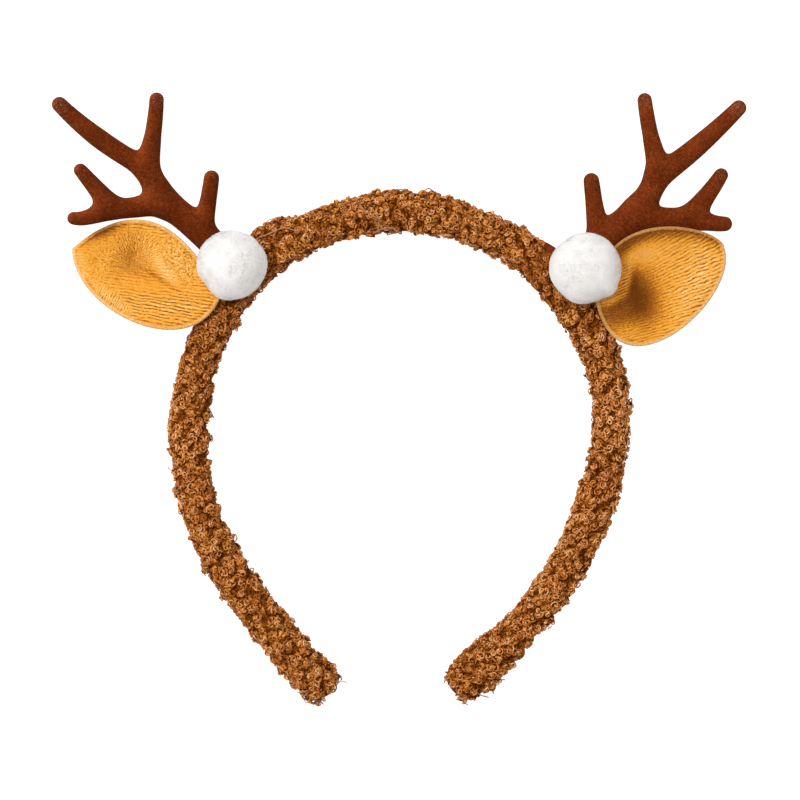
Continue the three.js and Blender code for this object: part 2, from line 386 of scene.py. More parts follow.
def makeFill():
    # the fluffed-up ground between the curls: small loops, with painted shade between its tufts
    material, tree, shader, grain = newMaterial("boucleFill", fillLook)
    loops = placeGroup(tree, yarnLoops, **fillLook["loops"])["Height"]
    share = stretch(tree, mixValue(tree, fillLook["loopShare"], grain["Mask"], loops), *fillLook["contrast"])
    share = mathNode(tree, "MULTIPLY", share, stretch(tree, readMark(tree, "raised"), *fillLook["raised"]))
    paint(tree, shader, colourRamp(tree, share, fillLook["stops"]))
    bumpInto(tree, shader, loops, *fillLook["bump"])
    return material


threadLook = {
    "shader": {
        "Roughness": 0.45, "Specular IOR Level": 0.35,
        "Sheen Weight": 0.1, "Sheen Tint": (1.0, 0.7, 0.5, 1),
    },
    "grain": {"Fine": 3000.0, "Coarse": 200.0, "Mix": 0.6},
    "stops": ((0.0, (0.40, 0.18, 0.11)), (1.0, (0.72, 0.42, 0.29))),
}


def makeThread():
    material, tree, shader, grain = newMaterial("looseThread", threadLook)
    paint(tree, shader, colourRamp(tree, grain["Mask"], threadLook["stops"]))
    return material


yarn, fill, thread = makeYarn(), makeFill(), makeThread()

band = {
    "crownY": 60.0,
    "thickness": 12.4,  # seen from the front, over the pile
    "depth": 15.8,
    "pressed": 1.2,  # how far the floor presses the back in
    "endRound": 6.8,
    "endShare": 0.7,  # how far over its rounded ends the pile reaches
    "endDraw": 0.4,  # how far the skin draws in there, as a share of the thickness
    "endMost": 0.98,  # so that it stops short of a point
    "endsBack": (4.1, 0.9),  # how far before the end of each outer arc the rounding starts
    "left": ((66.5, 61.5), (76.5, 58.0), (170.0, 19.0)),  # radius and sweep of each arc from the crown
    "right": ((68.5, 73.5), (58.5, 28.0), (119.0, 42.5)),
    # how full the pile is along the hoop: distance from the crown, outer and inner half width
    "fullness": (
        (-205, 7.8, 6.2), (-190, 7.0, 7.0), (-178, 5.9, 7.5), (-165, 6.0, 6.9), (-150, 6.7, 6.8),
        (-140, 5.6, 6.7), (-130, 6.4, 6.2), (-120, 5.1, 6.7), (-108, 6.2, 7.2), (-98, 6.0, 7.3),
        (-88, 5.8, 6.6), (-80, 5.6, 6.4), (-70, 6.0, 7.2), (-52, 6.4, 6.9), (-44, 10.2, 6.6),
        (-38, 9.8, 6.6), (-30, 5.9, 6.8), (-15, 6.2, 7.2), (0, 7.2, 7.1), (10, 6.3, 7.5),
        (18, 6.2, 6.7), (30, 5.6, 7.2), (44, 6.7, 7.0), (60, 6.2, 8.2), (72, 6.2, 7.9),
        (80, 6.2, 6.9), (88, 6.1, 6.8), (104, 5.7, 6.6), (118, 5.9, 5.6), (130, 7.3, 6.3),
        (152, 7.8, 5.5), (162, 7.3, 6.0), (178, 6.4, 5.5), (192, 7.3, 7.4), (199, 8.7, 7.6),
        (206, 7.6, 5.6),
    ),
    "pile": 1.3,  # from the ground that the tufts stand on to the outline
    "ornamentAt": 55.0,
    "ornamentHalf": (7.0, 17.0),  # the pile is pressed flat this near the ornaments
    "stripHalf": 0.33,  # half angle of the bare strip inside the hoop
    "stripCrosses": (95.0, 135.0),  # on the right arm it runs under the hoop to the outside
    "stripStops": 0.1,  # how far short of the outside it stops, as an angle
    "stripWidens": 0.5,  # how much wider it is there
    "stripEdge": 0.7,  # from this share of the half angle its edge fades
    "stripTone": 0.75,
    "endTone": 0.6,
    "underLevel": -0.5,  # below this sine of the angle the pile is thinner
    "floor": 0.25,
    "rings": 880,
    "columns": 72,
    "capRings": 10,
}
bandMiddle = band["depth"] / 2 - band["pressed"]


def arcLength(arcs):
    return sum(radius * np.radians(sweep) for radius, sweep in arcs)


bandEnds = (band["endsBack"][0] - arcLength(band["left"]), arcLength(band["right"]) - band["endsBack"][1])
endReach = band["endShare"] * band["endRound"]
pileEnds = (bandEnds[0] - endReach, bandEnds[1] + endReach)


def walkArcs(arcs, distance):
    # points and outward angles along tangent arcs from the crown, for the right-hand way round
    end = np.array([0.0, band["crownY"]])
    angle, start = np.pi / 2, 0.0
    point = np.zeros(distance.shape + (2,))
    heading = np.zeros(distance.shape)
    for radius, sweep in arcs:
        centre = end - radius * onCircle(angle)
        here = angle - (distance - start) / radius
        onArc = distance >= start - tiny
        heading = np.where(onArc, here, heading)
        point = np.where(onArc[..., None], centre + radius * onCircle(here), point)
        start += radius * np.radians(sweep)
        angle -= np.radians(sweep)
        end = centre + radius * onCircle(angle)
    return point, heading


def bandSpine(distance):
    # centre, outward and forward directions of the hoop at distances from the crown, negative to the left
    rightPoint, rightAngle = walkArcs(band["right"], np.maximum(distance, 0))
    leftPoint, leftAngle = walkArcs(band["left"], np.maximum(-distance, 0))
    onLeft = distance < 0
    point = np.where(onLeft[..., None], leftPoint * np.array([-1, 1]), rightPoint)
    angle = np.where(onLeft, np.pi - leftAngle, rightAngle)
    outward = np.stack([np.cos(angle), np.sin(angle), np.zeros_like(angle)], -1)
    forward = np.stack([np.sin(angle), -np.cos(angle), np.zeros_like(angle)], -1)
    centre = np.concatenate([point, np.full(distance.shape + (1,), bandMiddle)], -1)
    return centre, outward, forward


def halfWidths(distance):
    # outer and inner half width of the pile
    at, outer, inner = np.array(band["fullness"]).T
    return np.interp(distance, at, outer), np.interp(distance, at, inner)


def bandSurface(distance, angle, inset):
    # point and normal on the hoop's oval skin, inset below the tops of the pile
    centre, outward, forward = bandSpine(distance)
    outer, inner = halfWidths(distance)
    lean = (1 + np.cos(angle)) / 2
    halfOut = lean * outer + (1 - lean) * inner - inset
    halfUp = band["depth"] / 2 - inset
    up = np.array([0.0, 0.0, 1.0])
    cos, sin = np.cos(angle), np.sin(angle)
    point = centre + (halfOut * cos)[..., None] * outward + (halfUp * sin)[..., None] * up
    normal = unitRows((cos / halfOut)[..., None] * outward + (sin / halfUp)[..., None] * up)
    return point, normal, forward


def fromStrip(distance, angle):
    # angle away from the middle of the bare strip, which is wider where it has crossed
    crossed = smoothStep(distance, *band["stripCrosses"])
    middle = np.pi + (np.pi - band["stripStops"]) * crossed
    return np.abs((angle - middle + np.pi) % turn - np.pi) / (1 + band["stripWidens"] * crossed)


tufts = {
    "tries": 3400,
    "jostle": 0.8,  # how far off even spacing
    "radius": (1.05, 2.0),
    "height": (0.7, 1.5),
    "pressed": 0.4,  # share of the height that is left beside the ornaments
    "dome": 0.5,  # power of the dome's profile: a half is an ellipsoid
    "lobeShare": 0.06,  # ones that stand out of the pile
    "lobeRadius": (1.2, 1.8),
    "lobeHeight": (1.7, 2.4),
    "stretches": 80,  # parts in which the hoop is worked through
    "search": 3.0,  # how far along the hoop to look for tufts
    "seed": 3,
}
spreadSteps = (0.7548776662, 0.5698402910)  # steps of an additive sequence that fills a square evenly


def spreadPlaces(tries, jostle, draw):
    # places spread over the hoop by an additive sequence and jostled, in order along it
    i = np.arange(tries)
    low, high = pileEnds
    distance = low + (high - low) * ((0.5 + i * spreadSteps[0]) % 1)
    distance = np.clip(distance + draw.normal(0, jostle, tries), low, high)
    angle = turn * ((0.5 + i * spreadSteps[1]) % 1) + draw.normal(0, 2 * jostle / band["thickness"], tries)
    order = np.argsort(distance)
    return distance[order], angle[order]


def endInset(distance):
    # how far the skin draws in where it rounds over the hoop's ends
    pastEnd = np.maximum(np.maximum(bandEnds[0] - distance, distance - bandEnds[1]), 0)
    share = np.clip(pastEnd / band["endRound"], 0, band["endMost"])
    return band["thickness"] * band["endDraw"] * (1 - np.sqrt(1 - share ** 2))


def drawEither(picked, one, other, draw):
    # a drawn value for each place, from one range where it is picked and from the other elsewhere
    return np.where(picked, draw.uniform(*one, len(picked)), draw.uniform(*other, len(picked)))


def fromOrnaments(distance):
    return np.abs(np.abs(distance) - band["ornamentAt"])


def placeTufts():
    draw = np.random.default_rng(tufts["seed"])
    distance, angle = spreadPlaces(tufts["tries"], tufts["jostle"], draw)
    spot, normal, forward = bandSurface(distance, angle, band["pile"] + endInset(distance))
    isLobe = draw.random(len(distance)) < tufts["lobeShare"]
    height = drawEither(isLobe, tufts["lobeHeight"], tufts["height"], draw)
    radius = drawEither(isLobe, tufts["lobeRadius"], tufts["radius"], draw)
    height *= fadeIn(fromOrnaments(distance), *band["ornamentHalf"], tufts["pressed"])
    return {
        "along": distance, "angle": angle, "spot": spot, "normal": normal, "forward": forward,
        "height": height, "radius": radius, "tone": draw.random(len(distance)),
    }


tuft = placeTufts()


def tuftRaise(points, distance):
    # height of the tallest dome over each point and which tuft it is, stretch by stretch along the hoop
    flat, along = points.reshape(-1, 3), distance.ravel()
    raised, owner = np.zeros(len(flat)), np.zeros(len(flat), int)
    for part in np.array_split(np.argsort(along, kind="stable"), tufts["stretches"]):
        low, high = along[part].min() - tufts["search"], along[part].max() + tufts["search"]
        near = np.flatnonzero((tuft["along"] > low) & (tuft["along"] < high))
        gap = np.linalg.norm(flat[part, None] - tuft["spot"][near], axis=-1) / tuft["radius"][near]
        dome = tuft["height"][near] * np.clip(1 - gap ** 2, 0, 1) ** tufts["dome"]
        best = dome.argmax(1)
        raised[part] = dome[np.arange(len(part)), best]
        owner[part] = near[best]
    return raised.reshape(distance.shape), owner.reshape(distance.shape)


def makeBandFill():
    # oval rings along the spine, shrunk to round ends, raised by the tufts and flat on the floor
    ring = np.arange(1, band["rings"])
    fromEnd = np.minimum(ring, band["rings"] - ring)
    capAngle = np.clip(fromEnd / band["capRings"], 0, 1) * np.pi / 2
    place = np.clip((ring - band["capRings"]) / (band["rings"] - 2 * band["capRings"]), 0, 1)
    distance = bandEnds[0] + (bandEnds[1] - bandEnds[0]) * place
    capReach = band["endRound"] - band["pile"]
    beyond = np.where(ring < band["rings"] / 2, -1, 1) * np.cos(capAngle) * capReach
    angle = turn * np.arange(band["columns"]) / band["columns"]
    distance2, angle2 = np.meshgrid(distance, angle, indexing="ij")
    skin, normal, forward = bandSurface(distance2, angle2, band["pile"])
    centre, _, _ = bandSpine(distance2)
    rings = centre + (skin - centre) * np.sin(capAngle)[:, None, None] + beyond[:, None, None] * forward
    half = band["stripHalf"]
    strip = 1 - smoothStep(fromStrip(distance2, angle2), half * band["stripEdge"], half)
    raised, _ = tuftRaise(rings, distance2 + beyond[:, None])
    raised = raised * (1 - strip)
    rings += normal * raised[..., None]
    rings[..., 2] = np.maximum(rings[..., 2], band["floor"])
    poles = [centre[i, 0] + forward[i, 0] * side * capReach for i, side in ((0, -1), (-1, 1))]
    points, quads, triangles = closedRings(rings, *poles)
    piece = putMesh("bandFill", points, quads, triangles, fill)
    # the raised mark: painted shade low between the tufts, and the bare strip's own paler tone
    tone = (raised + band["stripTone"] * strip).ravel()
    putMark(piece, "raised", np.concatenate([tone, [band["endTone"]] * 2]))
    finishPiece(piece, "band")


makeBandFill()
print("band fill made, length", round(bandEnds[1] - bandEnds[0], 1), "mm")

yarnTone = {
    "patch": (12.0, 15),  # wavelength and seed of slow changes over the hoop
    "patchRange": (-1.6, 1.6),
    "rightLitShare": 0.4,  # painted light: a little lighter on the right
    "rightLitRange": (10.0, 60.0),
    "waver": 0.16,
    "waverWaves": (1.0, 3.0),
    "glint": 0.43,
    "glintWaves": (1.5, 3.5),
    "glintPower": 7,
}


def yarnTones(shares, tuftTone, points, steps, draw):
    # each strand's own tone, its tuft's and its patch's; it wavers, and short stretches carry a painted
    # highlight
    own, ofTuft, ofPatch, least = shares
    patch = smoothStep(rippleField(points, *yarnTone["patch"]), *yarnTone["patchRange"])
    # painted light: the right of the hoop is a little lighter
    patch = patch + yarnTone["rightLitShare"] * smoothStep(points[:, 0], *yarnTone["rightLitRange"])
    count = len(points)
    tone = own * draw.random(count) + ofTuft * tuftTone + ofPatch * patch + least
    waver = wavering(count, steps, yarnTone["waverWaves"], draw)
    glint = np.clip(wavering(count, steps, yarnTone["glintWaves"], draw), 0, 1) ** yarnTone["glintPower"]
    return tone[:, None] + yarnTone["waver"] * waver + yarnTone["glint"] * glint


def keepPlaces(distance, angle, own, draw):
    # true off the bare strip, and for a share of the places below, where the hoop lies on the floor
    count = len(angle)
    keep = fromStrip(distance, angle) > band["stripHalf"] * draw.uniform(*own["stripEdge"], count)
    return keep & ((np.sin(angle) > band["underLevel"]) | (draw.random(count) < own["underShare"]))


def putYarn(name, paths, strand, axes, material, marks, pieces=1):
    # strands of the pile as one piece or shared out over a few
    for k, part in enumerate(np.array_split(np.arange(len(paths)), pieces)):
        own = {key: values[part] for key, values in marks.items()}
        pieceName = f"{name}{k + 1}" if pieces > 1 else name
        piece = putStrands(pieceName, paths[part], strand[part], axes[part], material, own)
        finishPiece(piece, "band")


knobs = {
    "turns": (1.1, 2.0),
    "quicken": 1.15,  # the winding tightens towards the top
    "waver": 0.22,  # how uneven the spiral is
    "waverWaves": (1.0, 2.6),
    "steps": 17,
    "slope": (0.1, 0.65),  # how steeply the spiral is set on its dome
    "strand": (0.21, 0.31),  # radius of the yarn
    "taper": (0.5, 8.0),  # share of the radius at the ends, and how fast it grows from there
    "over": 0.08,  # how far its middle lies over the dome
    "topRadius": 0.15,  # where the spiral ends, as a share of the tuft
    "drift": 0.4,  # how far its top sits to one side
    "shadeAtFoot": (0.0, 0.4, 0.42),  # painted shade: darker at the foot of the spiral
    "shadeOnLowTufts": (0.5, 1.3, 0.7),  # and painted shade on low tufts, deep in the pile
    "tone": (0.22, 0.2, 0.14, 0.11),  # shares of its own tone, its tuft's and its patch's, and the least
    "pieces": 2,
    "stripEdge": (0.8, 1.1),  # how near the bare strip they come, in its half angle
    "underShare": 0.4,  # fewer below, where the hoop lies on the floor
    "floor": 0.12,
    "seed": 6,
}


def makeKnobs():
    # every tuft is wound with yarn: a flat spiral from its foot to its top, laid on its dome
    draw = np.random.default_rng(knobs["seed"])
    keep = keepPlaces(tuft["along"], tuft["angle"], knobs, draw)
    own = {key: values[keep] for key, values in tuft.items()}
    count, steps = len(own["along"]), knobs["steps"]
    t = np.linspace(0, 1, steps)
    waver = 1 + knobs["waver"] * wavering(count, steps, knobs["waverWaves"], draw)
    share = np.minimum((1 - (1 - knobs["topRadius"]) * t) * waver, 1)
    spiral = draw.choice([-1, 1], count) * draw.uniform(*knobs["turns"], count)
    phase = turn * (spiral[:, None] * t ** knobs["quicken"] + draw.random(count)[:, None])
    side = turn * draw.random(count)[:, None]
    across = np.cross(own["normal"], own["forward"])
    dx = share * np.cos(phase) + knobs["drift"] * t * np.cos(side)
    dy = share * np.sin(phase) + knobs["drift"] * t * np.sin(side)
    rise = own["height"][:, None] * np.clip(1 - share ** 2, 0, 1) ** tufts["dome"] + knobs["over"]
    slope = (own["radius"] * draw.uniform(*knobs["slope"], count))[:, None]
    rise += slope * share * np.cos(phase - turn * draw.random(count)[:, None])
    flat = dx[..., None] * own["forward"][:, None, :] + dy[..., None] * across[:, None, :]
    paths = own["spot"][:, None, :] + own["radius"][:, None, None] * flat
    paths = paths + rise[..., None] * own["normal"][:, None, :]
    strand = draw.uniform(*knobs["strand"], count)[:, None] * taper(steps, *knobs["taper"])
    paths[..., 2] = np.maximum(paths[..., 2], knobs["floor"] + strand)
    # lift is painted shade: darker at the foot of the spiral and on low tufts
    lift = fadeIn(1 - share, *knobs["shadeAtFoot"]) * fadeIn(own["height"], *knobs["shadeOnLowTufts"])[:, None]
    tone = yarnTones(knobs["tone"], own["tone"], own["spot"], steps, draw)
    marks = {"tone": tone, "lift": lift}
    putYarn("bandKnobs", paths, strand, own["normal"], yarn, marks, knobs["pieces"])
    print("knobs made:", count)


makeKnobs()

curls = {
    "tries": 5400,
    "jostle": 0.5,
    "pieces": 2,
    "ringShare": 0.6,  # the other curls are corkscrews
    "ring": {"loop": (0.4, 0.8), "turns": (0.9, 1.6), "pitch": (0.2, 0.7), "tilt": (0.6, 1.0)},
    "corkscrew": {"loop": (0.28, 0.5), "turns": (1.2, 1.9), "pitch": (1.2, 2.4), "tilt": (0.0, 0.25)},
    "waver": (0.68, 0.32, 0.7),  # radius of the circle: its middle, its change and how many waves
    "strand": (0.17, 0.26),
    "taper": (0.45, 8.0),
    "steps": 13,
    "sink": (-0.2, 0.35),  # how deep a curl sits in its tuft, in loops
    "leanOut": 0.8,  # how far it leans away from the middle of its tuft
    "shadeByHeight": (-0.7, 0.7),  # painted shade: from dark to light, by the height over the tuft
    "shadeBetweenTufts": (0.1, 1.1, 0.4),  # painted shade between the tufts
    "tone": (0.25, 0.22, 0.14, 0.12),
    "stripEdge": (0.6, 1.0),
    "underShare": 0.4,
    "floor": 0.12,
    "seed": 5,
}


def curlFrames(normal, forward, cosTilt, spin):
    # axis of each curl, tilted from the normal, and two directions across it
    across = np.cross(normal, forward)
    lean = np.cos(spin)[:, None] * forward + np.sin(spin)[:, None] * across
    axis = cosTilt[:, None] * normal + np.sqrt(1 - cosTilt ** 2)[:, None] * lean
    first = unitRows(np.cross(axis, np.cos(spin)[:, None] * across - np.sin(spin)[:, None] * forward))
    return axis, first, np.cross(axis, first)


def helixPaths(point, frames, loop, turns, pitch, steps, draw):
    # a circle of wavering radius about the axis, carried along that axis
    axis, first, second = frames
    count = len(point)
    t = np.linspace(0, 1, steps)
    phase = turn * (turns[:, None] * t + draw.random(count)[:, None])
    middle, change, waves = curls["waver"]
    waver = middle + change * np.sin(turn * (waves * t + draw.random(count)[:, None]))
    radius = (loop[:, None] * waver)[..., None]
    circle = np.cos(phase)[..., None] * first[:, None, :] + np.sin(phase)[..., None] * second[:, None, :]
    rise = pitch[:, None] * (t - 0.5)
    return point[:, None, :] + radius * circle + rise[..., None] * axis[:, None, :]


def makeCurls():
    # curls lie on the domes of the tufts and lean away from each tuft's middle
    draw = np.random.default_rng(curls["seed"])
    distance, angle = spreadPlaces(curls["tries"], curls["jostle"], draw)
    keep = keepPlaces(distance, angle, curls, draw)
    distance, angle = distance[keep], angle[keep]
    count, steps = len(angle), curls["steps"]
    isRing = draw.random(count) < curls["ringShare"]

    def pick(key):
        return drawEither(isRing, curls["ring"][key], curls["corkscrew"][key], draw)

    loop, turns, pitch = pick("loop"), pick("turns"), pick("pitch")
    ground, normal, forward = bandSurface(distance, angle, band["pile"] + endInset(distance))
    raised, owner = tuftRaise(ground, distance)
    lean = (ground - tuft["spot"][owner]) / tuft["radius"][owner][:, None]
    upward = unitRows(normal + curls["leanOut"] * lean * (raised > 0)[:, None])
    along = squareTo(forward, upward)
    over = ground + normal * raised[:, None]
    point = over - upward * (loop * draw.uniform(*curls["sink"], count))[:, None]
    frames = curlFrames(upward, along, pick("tilt"), draw.uniform(0, turn, count))
    paths = helixPaths(point, frames, loop, turns, pitch, steps, draw)
    strand = draw.uniform(*curls["strand"], count)[:, None] * taper(steps, *curls["taper"])
    paths[..., 2] = np.maximum(paths[..., 2], curls["floor"] + strand)
    height = np.sum((paths - over[:, None, :]) * upward[:, None, :], axis=2)
    # lift is painted shade: darker low over the tuft and between the tufts
    lift = smoothStep(height, *curls["shadeByHeight"]) * fadeIn(raised, *curls["shadeBetweenTufts"])[:, None]
    tone = yarnTones(curls["tone"], tuft["tone"][owner], point, steps, draw)
    putYarn("bandCurls", paths, strand, frames[0], yarn, {"tone": tone, "lift": lift}, curls["pieces"])
    print("curls made:", count)


makeCurls()

strays = {
    "count": 46,
    "below": 0.5,  # how far below the hoop's middle they start, as an angle
    "loop": (0.6, 1.2),
    "turns": (0.6, 1.2),
    "pitch": (0.3, 1.5),
    "tilt": (0.0, 0.9),
    "strand": (0.07, 0.1),
    "stand": (-0.9, 0.1),  # how far their middles stand out of the pile
    "stripClear": 2.0,  # how far they keep off the bare strip, in half angles
    "steps": 16,
    "seed": 8,
}


def makeStrays():
    # thin loops that have worked loose from the pile, none where it is pressed flat
    draw = np.random.default_rng(strays["seed"])
    count, steps = strays["count"], strays["steps"]
    distance = draw.uniform(*bandEnds, count)
    angle = draw.uniform(-strays["below"], np.pi + strays["below"], count)
    point, normal, forward = bandSurface(distance, angle, -draw.uniform(*strays["stand"], count))
    frames = curlFrames(normal, forward, draw.uniform(*strays["tilt"], count), draw.uniform(0, turn, count))
    loop, turns, pitch = (draw.uniform(*strays[key], count) for key in ("loop", "turns", "pitch"))
    paths = helixPaths(point, frames, loop, turns, pitch, steps, draw)
    strand = draw.uniform(*strays["strand"], count)[:, None] * np.ones(steps)
    paths[..., 2] = np.maximum(paths[..., 2], curls["floor"] + strand)
    free = fromOrnaments(distance) > band["ornamentHalf"][1]
    free &= fromStrip(distance, angle) > strays["stripClear"] * band["stripHalf"]
    putYarn("bandStrays", paths[free], strand[free], frames[0][free], thread, {})


makeStrays()

threads = {
    "strand": 0.17,
    "taper": (0.4, 6.0),
    "steps": 40,
    "places": 1600,  # along the hoop, to find the nearest of
    "rounding": 4,  # how often the corners of a line are cut off at a quarter
    "over": 1.0,  # how far they lie over the outline of the pile
    # each thread as seen from the front: from the ornament on the left along the crown, then down the arm
    "lines": (
        ((-45.6, 51.2), (-42.4, 52.2), (-39.8, 53.4), (-36.3, 54.8), (-34.4, 54.0), (-31.8, 53.2)),
        ((-13.9, 62.8), (-12.6, 62.2), (-11.0, 59.8), (-9.4, 58.8), (-6.7, 57.4), (-5.6, 57.7)),
        ((-6.2, 57.6), (-6.4, 56.6), (-6.6, 55.4)),
        ((-8.3, 53.2), (-5.6, 54.2), (-3.5, 54.8), (-1.4, 54.2), (0.2, 53.4)),
        ((-43.4, 55.4), (-42.0, 57.2), (-39.9, 58.0), (-39.0, 56.8)),
        ((-74.0, -21.2), (-73.6, -22.6), (-72.4, -22.6), (-72.4, -21.0), (-70.6, -19.6)),
        ((-70.8, -27.6), (-72.9, -28.5), (-72.0, -29.4), (-70.4, -28.9)),
        ((-20.4, -89.6), (-17.9, -90.2), (-16.6, -90.5)),
        ((-28.9, -93.2), (-30.9, -95.1), (-30.0, -96.9), (-29.3, -97.2), (-28.6, -95.6), (-27.4, -93.6)),
        ((-32.8, -93.9), (-31.1, -93.3), (-29.0, -92.4)),
    ),
    "hookStrand": 0.23,
    "hookOver": 0.2,
    "hookMarks": {"tone": 0.5, "lift": 0.8},
    # ends and loops of yarn that stand out of the outline, around the hoop from the right end
    "hooks": (
        ((21.4, -94.6), (19.6, -95.3), (18.0, -95.5)),
        ((19.9, -95.6), (20.8, -97.0), (22.0, -97.9)),
        ((23.6, -92.4), (25.6, -94.0), (27.2, -95.0), (28.8, -95.4)),
        ((31.0, -87.4), (31.8, -88.4), (32.6, -89.5), (34.0, -89.8)),
        ((29.6, -90.0), (30.6, -90.5), (31.8, -90.4)),
        ((18.4, -86.0), (17.0, -86.5), (15.6, -86.6)),
        ((36.4, -70.0), (34.8, -69.6), (34.6, -68.4), (35.7, -67.9), (36.6, -68.6)),
        ((72.8, -1.2), (74.0, 0.4), (74.6, 0.2), (74.2, -1.2)),
        ((70.4, 8.4), (72.2, 7.6), (73.2, 6.4)),
        ((8.4, 65.4), (8.1, 66.9), (9.2, 67.7), (10.5, 67.2), (10.6, 66.0), (9.8, 65.2)),
        ((-0.9, 66.8), (0.7, 67.3), (2.1, 66.8), (2.7, 67.2)),
        ((-61.2, -4.6), (-59.9, -4.9), (-59.3, -6.0)),
        ((-72.6, -8.4), (-73.9, -6.8), (-74.0, -5.8)),
        ((-54.2, -44.6), (-53.4, -43.2), (-52.2, -43.2), (-51.8, -44.6), (-52.6, -45.6)),
        ((-61.6, -51.6), (-63.1, -53.2), (-63.2, -54.4), (-62.4, -54.6)),
        ((-36.4, -71.0), (-35.2, -69.8), (-33.8, -69.9), (-33.2, -71.4)),
    ),
}


def hoopTop(line):
    # height of the hoop's upper skin below points seen from the front; outside the hoop, its middle height
    distance = np.linspace(*pileEnds, threads["places"])
    centre, outward, _ = bandSpine(distance)
    away = line[:, None, :] - centre[:, :2]
    nearest = np.linalg.norm(away, axis=2).argmin(1)
    off = np.sum(away[np.arange(len(line)), nearest] * outward[nearest, :2], axis=1)
    half = np.where(off > 0, *halfWidths(distance[nearest]))
    inset = endInset(distance[nearest])
    share = np.clip(np.abs(off) / (half - inset), 0, 1)
    return bandMiddle + (band["depth"] / 2 - inset) * np.sqrt(1 - share ** 2)


def makeThreads(name, lines, radius, over, material, marks):
    # single threads: a smooth curve through each line's points, laid over the pile
    paths = []
    for line in lines:
        rough = np.array(line)
        for _ in range(threads["rounding"]):
            inner = np.stack([0.75 * rough[:-1] + 0.25 * rough[1:], 0.25 * rough[:-1] + 0.75 * rough[1:]], 1)
            rough = np.concatenate([rough[:1], inner.reshape(-1, 2), rough[-1:]])
        flat = evenlySpaced(rough, threads["steps"])
        paths.append(np.concatenate([flat, hoopTop(flat)[:, None] + over], 1))
    paths = np.array(paths)
    strand = radius * np.ones((len(paths), 1)) * taper(threads["steps"], *threads["taper"])
    upward = np.repeat([[0.0, 0.0, 1.0]], len(paths), axis=0)
    marks = {key: np.full(strand.shape, value) for key, value in marks.items()}
    putYarn(name, paths, strand, upward, material, marks)


makeThreads("bandThreads", threads["lines"], threads["strand"], threads["over"], thread, {})
makeThreads(
    "bandHooks", threads["hooks"], threads["hookStrand"], threads["hookOver"], yarn, threads["hookMarks"],
)


# antlers: tapered branches fused into one flocked moulding

antler = {
    "middle": 7.2,
    "flatten": 0.8,
    "samples": 70,
    "voxel": 0.46,
    "fillet": 0.85,  # how softly the branches run into each other
    "footSize": (12.5, 4.75),  # half sizes along the band and back to front
    "footNormal": 43.0,
    "boxLow": (-16.0, -18.0, -7.0),
    "boxHigh": (62.0, 60.0, 9.0),
    # branches from the foot outwards and upwards: from, via, to, a radius at each, and the tip's lift
    "left": (
        ((0, 0), (14, 14), (25, 22), (4.5, 4.4, 4.3), 0),
        ((10.5, 13), (8.75, 22.5), (7.8, 28.7), (3.2, 2.65, 2.5), 1.2),
        ((22.5, 20.5), (25.4, 25.5), (28.6, 31.5), (4.5, 4.3, 3.6), 0.4),
        ((28.6, 32.5), (26.5, 43), (25.3, 53.7), (3.9, 2.7, 2.35), 1.6),
        ((29.5, 32.3), (44.1, 41.6), (56.4, 52.2), (3.2, 3.2, 2.5), 1),
        ((24, 21.1), (34, 19.2), (42, 19.3), (3.7, 3.3, 3.2), 0),
        ((40.4, 20.3), (45.7, 26.5), (49.7, 31.2), (3.4, 2.7, 2.2), 0.8),
        ((41, 18.9), (47.2, 16.3), (52.0, 15.9), (3.2, 2.5, 2.1), -0.4),
    ),
    "right": (
        ((0, 0), (13.4, 10.4), (24, 19.6), (4.5, 5.2, 4.8), 0),
        ((10.4, 12.5), (9.1, 22.5), (8.3, 28.6), (3.4, 2.75, 2.55), 1.2),
        ((22.8, 19.5), (26.7, 24.5), (29.7, 31.5), (4.1, 4.0, 3.6), 0.4),
        ((29.9, 33), (27.2, 43.5), (25.3, 54.3), (3.6, 2.6, 2.35), 1.6),
        ((29.6, 30), (42.4, 39.8), (55.4, 51.9), (3.8, 3.3, 2.5), 1),
        ((23, 17.2), (33, 16.6), (41.5, 17), (3.8, 3.5, 3.3), 0),
        ((40.6, 17.8), (45.8, 24.6), (49.8, 30.4), (3.7, 2.85, 2.3), 0.8),
        ((40.5, 16.6), (46.4, 15.3), (51.1, 14.9), (3.2, 2.7, 2.4), -0.4),
    ),
    "wear": {1: 0.15, 3: 0.7, 4: 1.0, 6: 0.4, 7: 0.15},  # how worn the free tip of each tine is
    "wornReach": (0.5, 4.5),  # from the tip
    "fieldLimit": 3.0,
}

sides = {
    "left": {
        "mirror": -1, "foot": (-52.2, 42.1), "footOut": 5.6,
        "pompom": (-53.1, 42.5, 19.5), "ball": 10.9, "seed": 4,
    },
    "right": {
        "mirror": 1, "foot": (53.1, 41.3), "footOut": 3.3,
        "pompom": (58.8, 41.4, 19.5), "ball": 11.3, "seed": 5,
    },
}

flockLook = {
    "shader": {
        "Roughness": 0.8, "Specular IOR Level": 0.03,
        "Sheen Weight": 0.12, "Sheen Tint": (1.0, 0.35, 0.15, 1),
    },
    "grain": {"Fine": 2900.0, "Coarse": 1100.0, "Mix": 0.35},
    "grainTone": (0.0, 1.0, -0.425, 0.425),
    "bump": (0.7, 0.16),
    "stops": ((0.0, (0.05, 0.0075, 0.0012)), (0.5, (0.137, 0.0232, 0.0034)), (1.0, (0.32, 0.061, 0.012))),
    "worn": (0.40, 0.24, 0.18, 1),
    "wornSpecks": (0.6, 0.95),
    "wornShare": 0.7,
    "paintedLightFrom": (-0.8, 0.6, 0.0),  # painted light: the side that faces this way is lighter and the other side darker
    "left": (0.45, 0.6, 0.16),  # tone, and how much painted light it gets on that side and painted shade on the other
    "right": (0.59, 0.04, 0.03),
    "clouds": ((0.04, 9.0, 51), (0.02, 3.0, 52)),  # depth, wavelength and seed
}


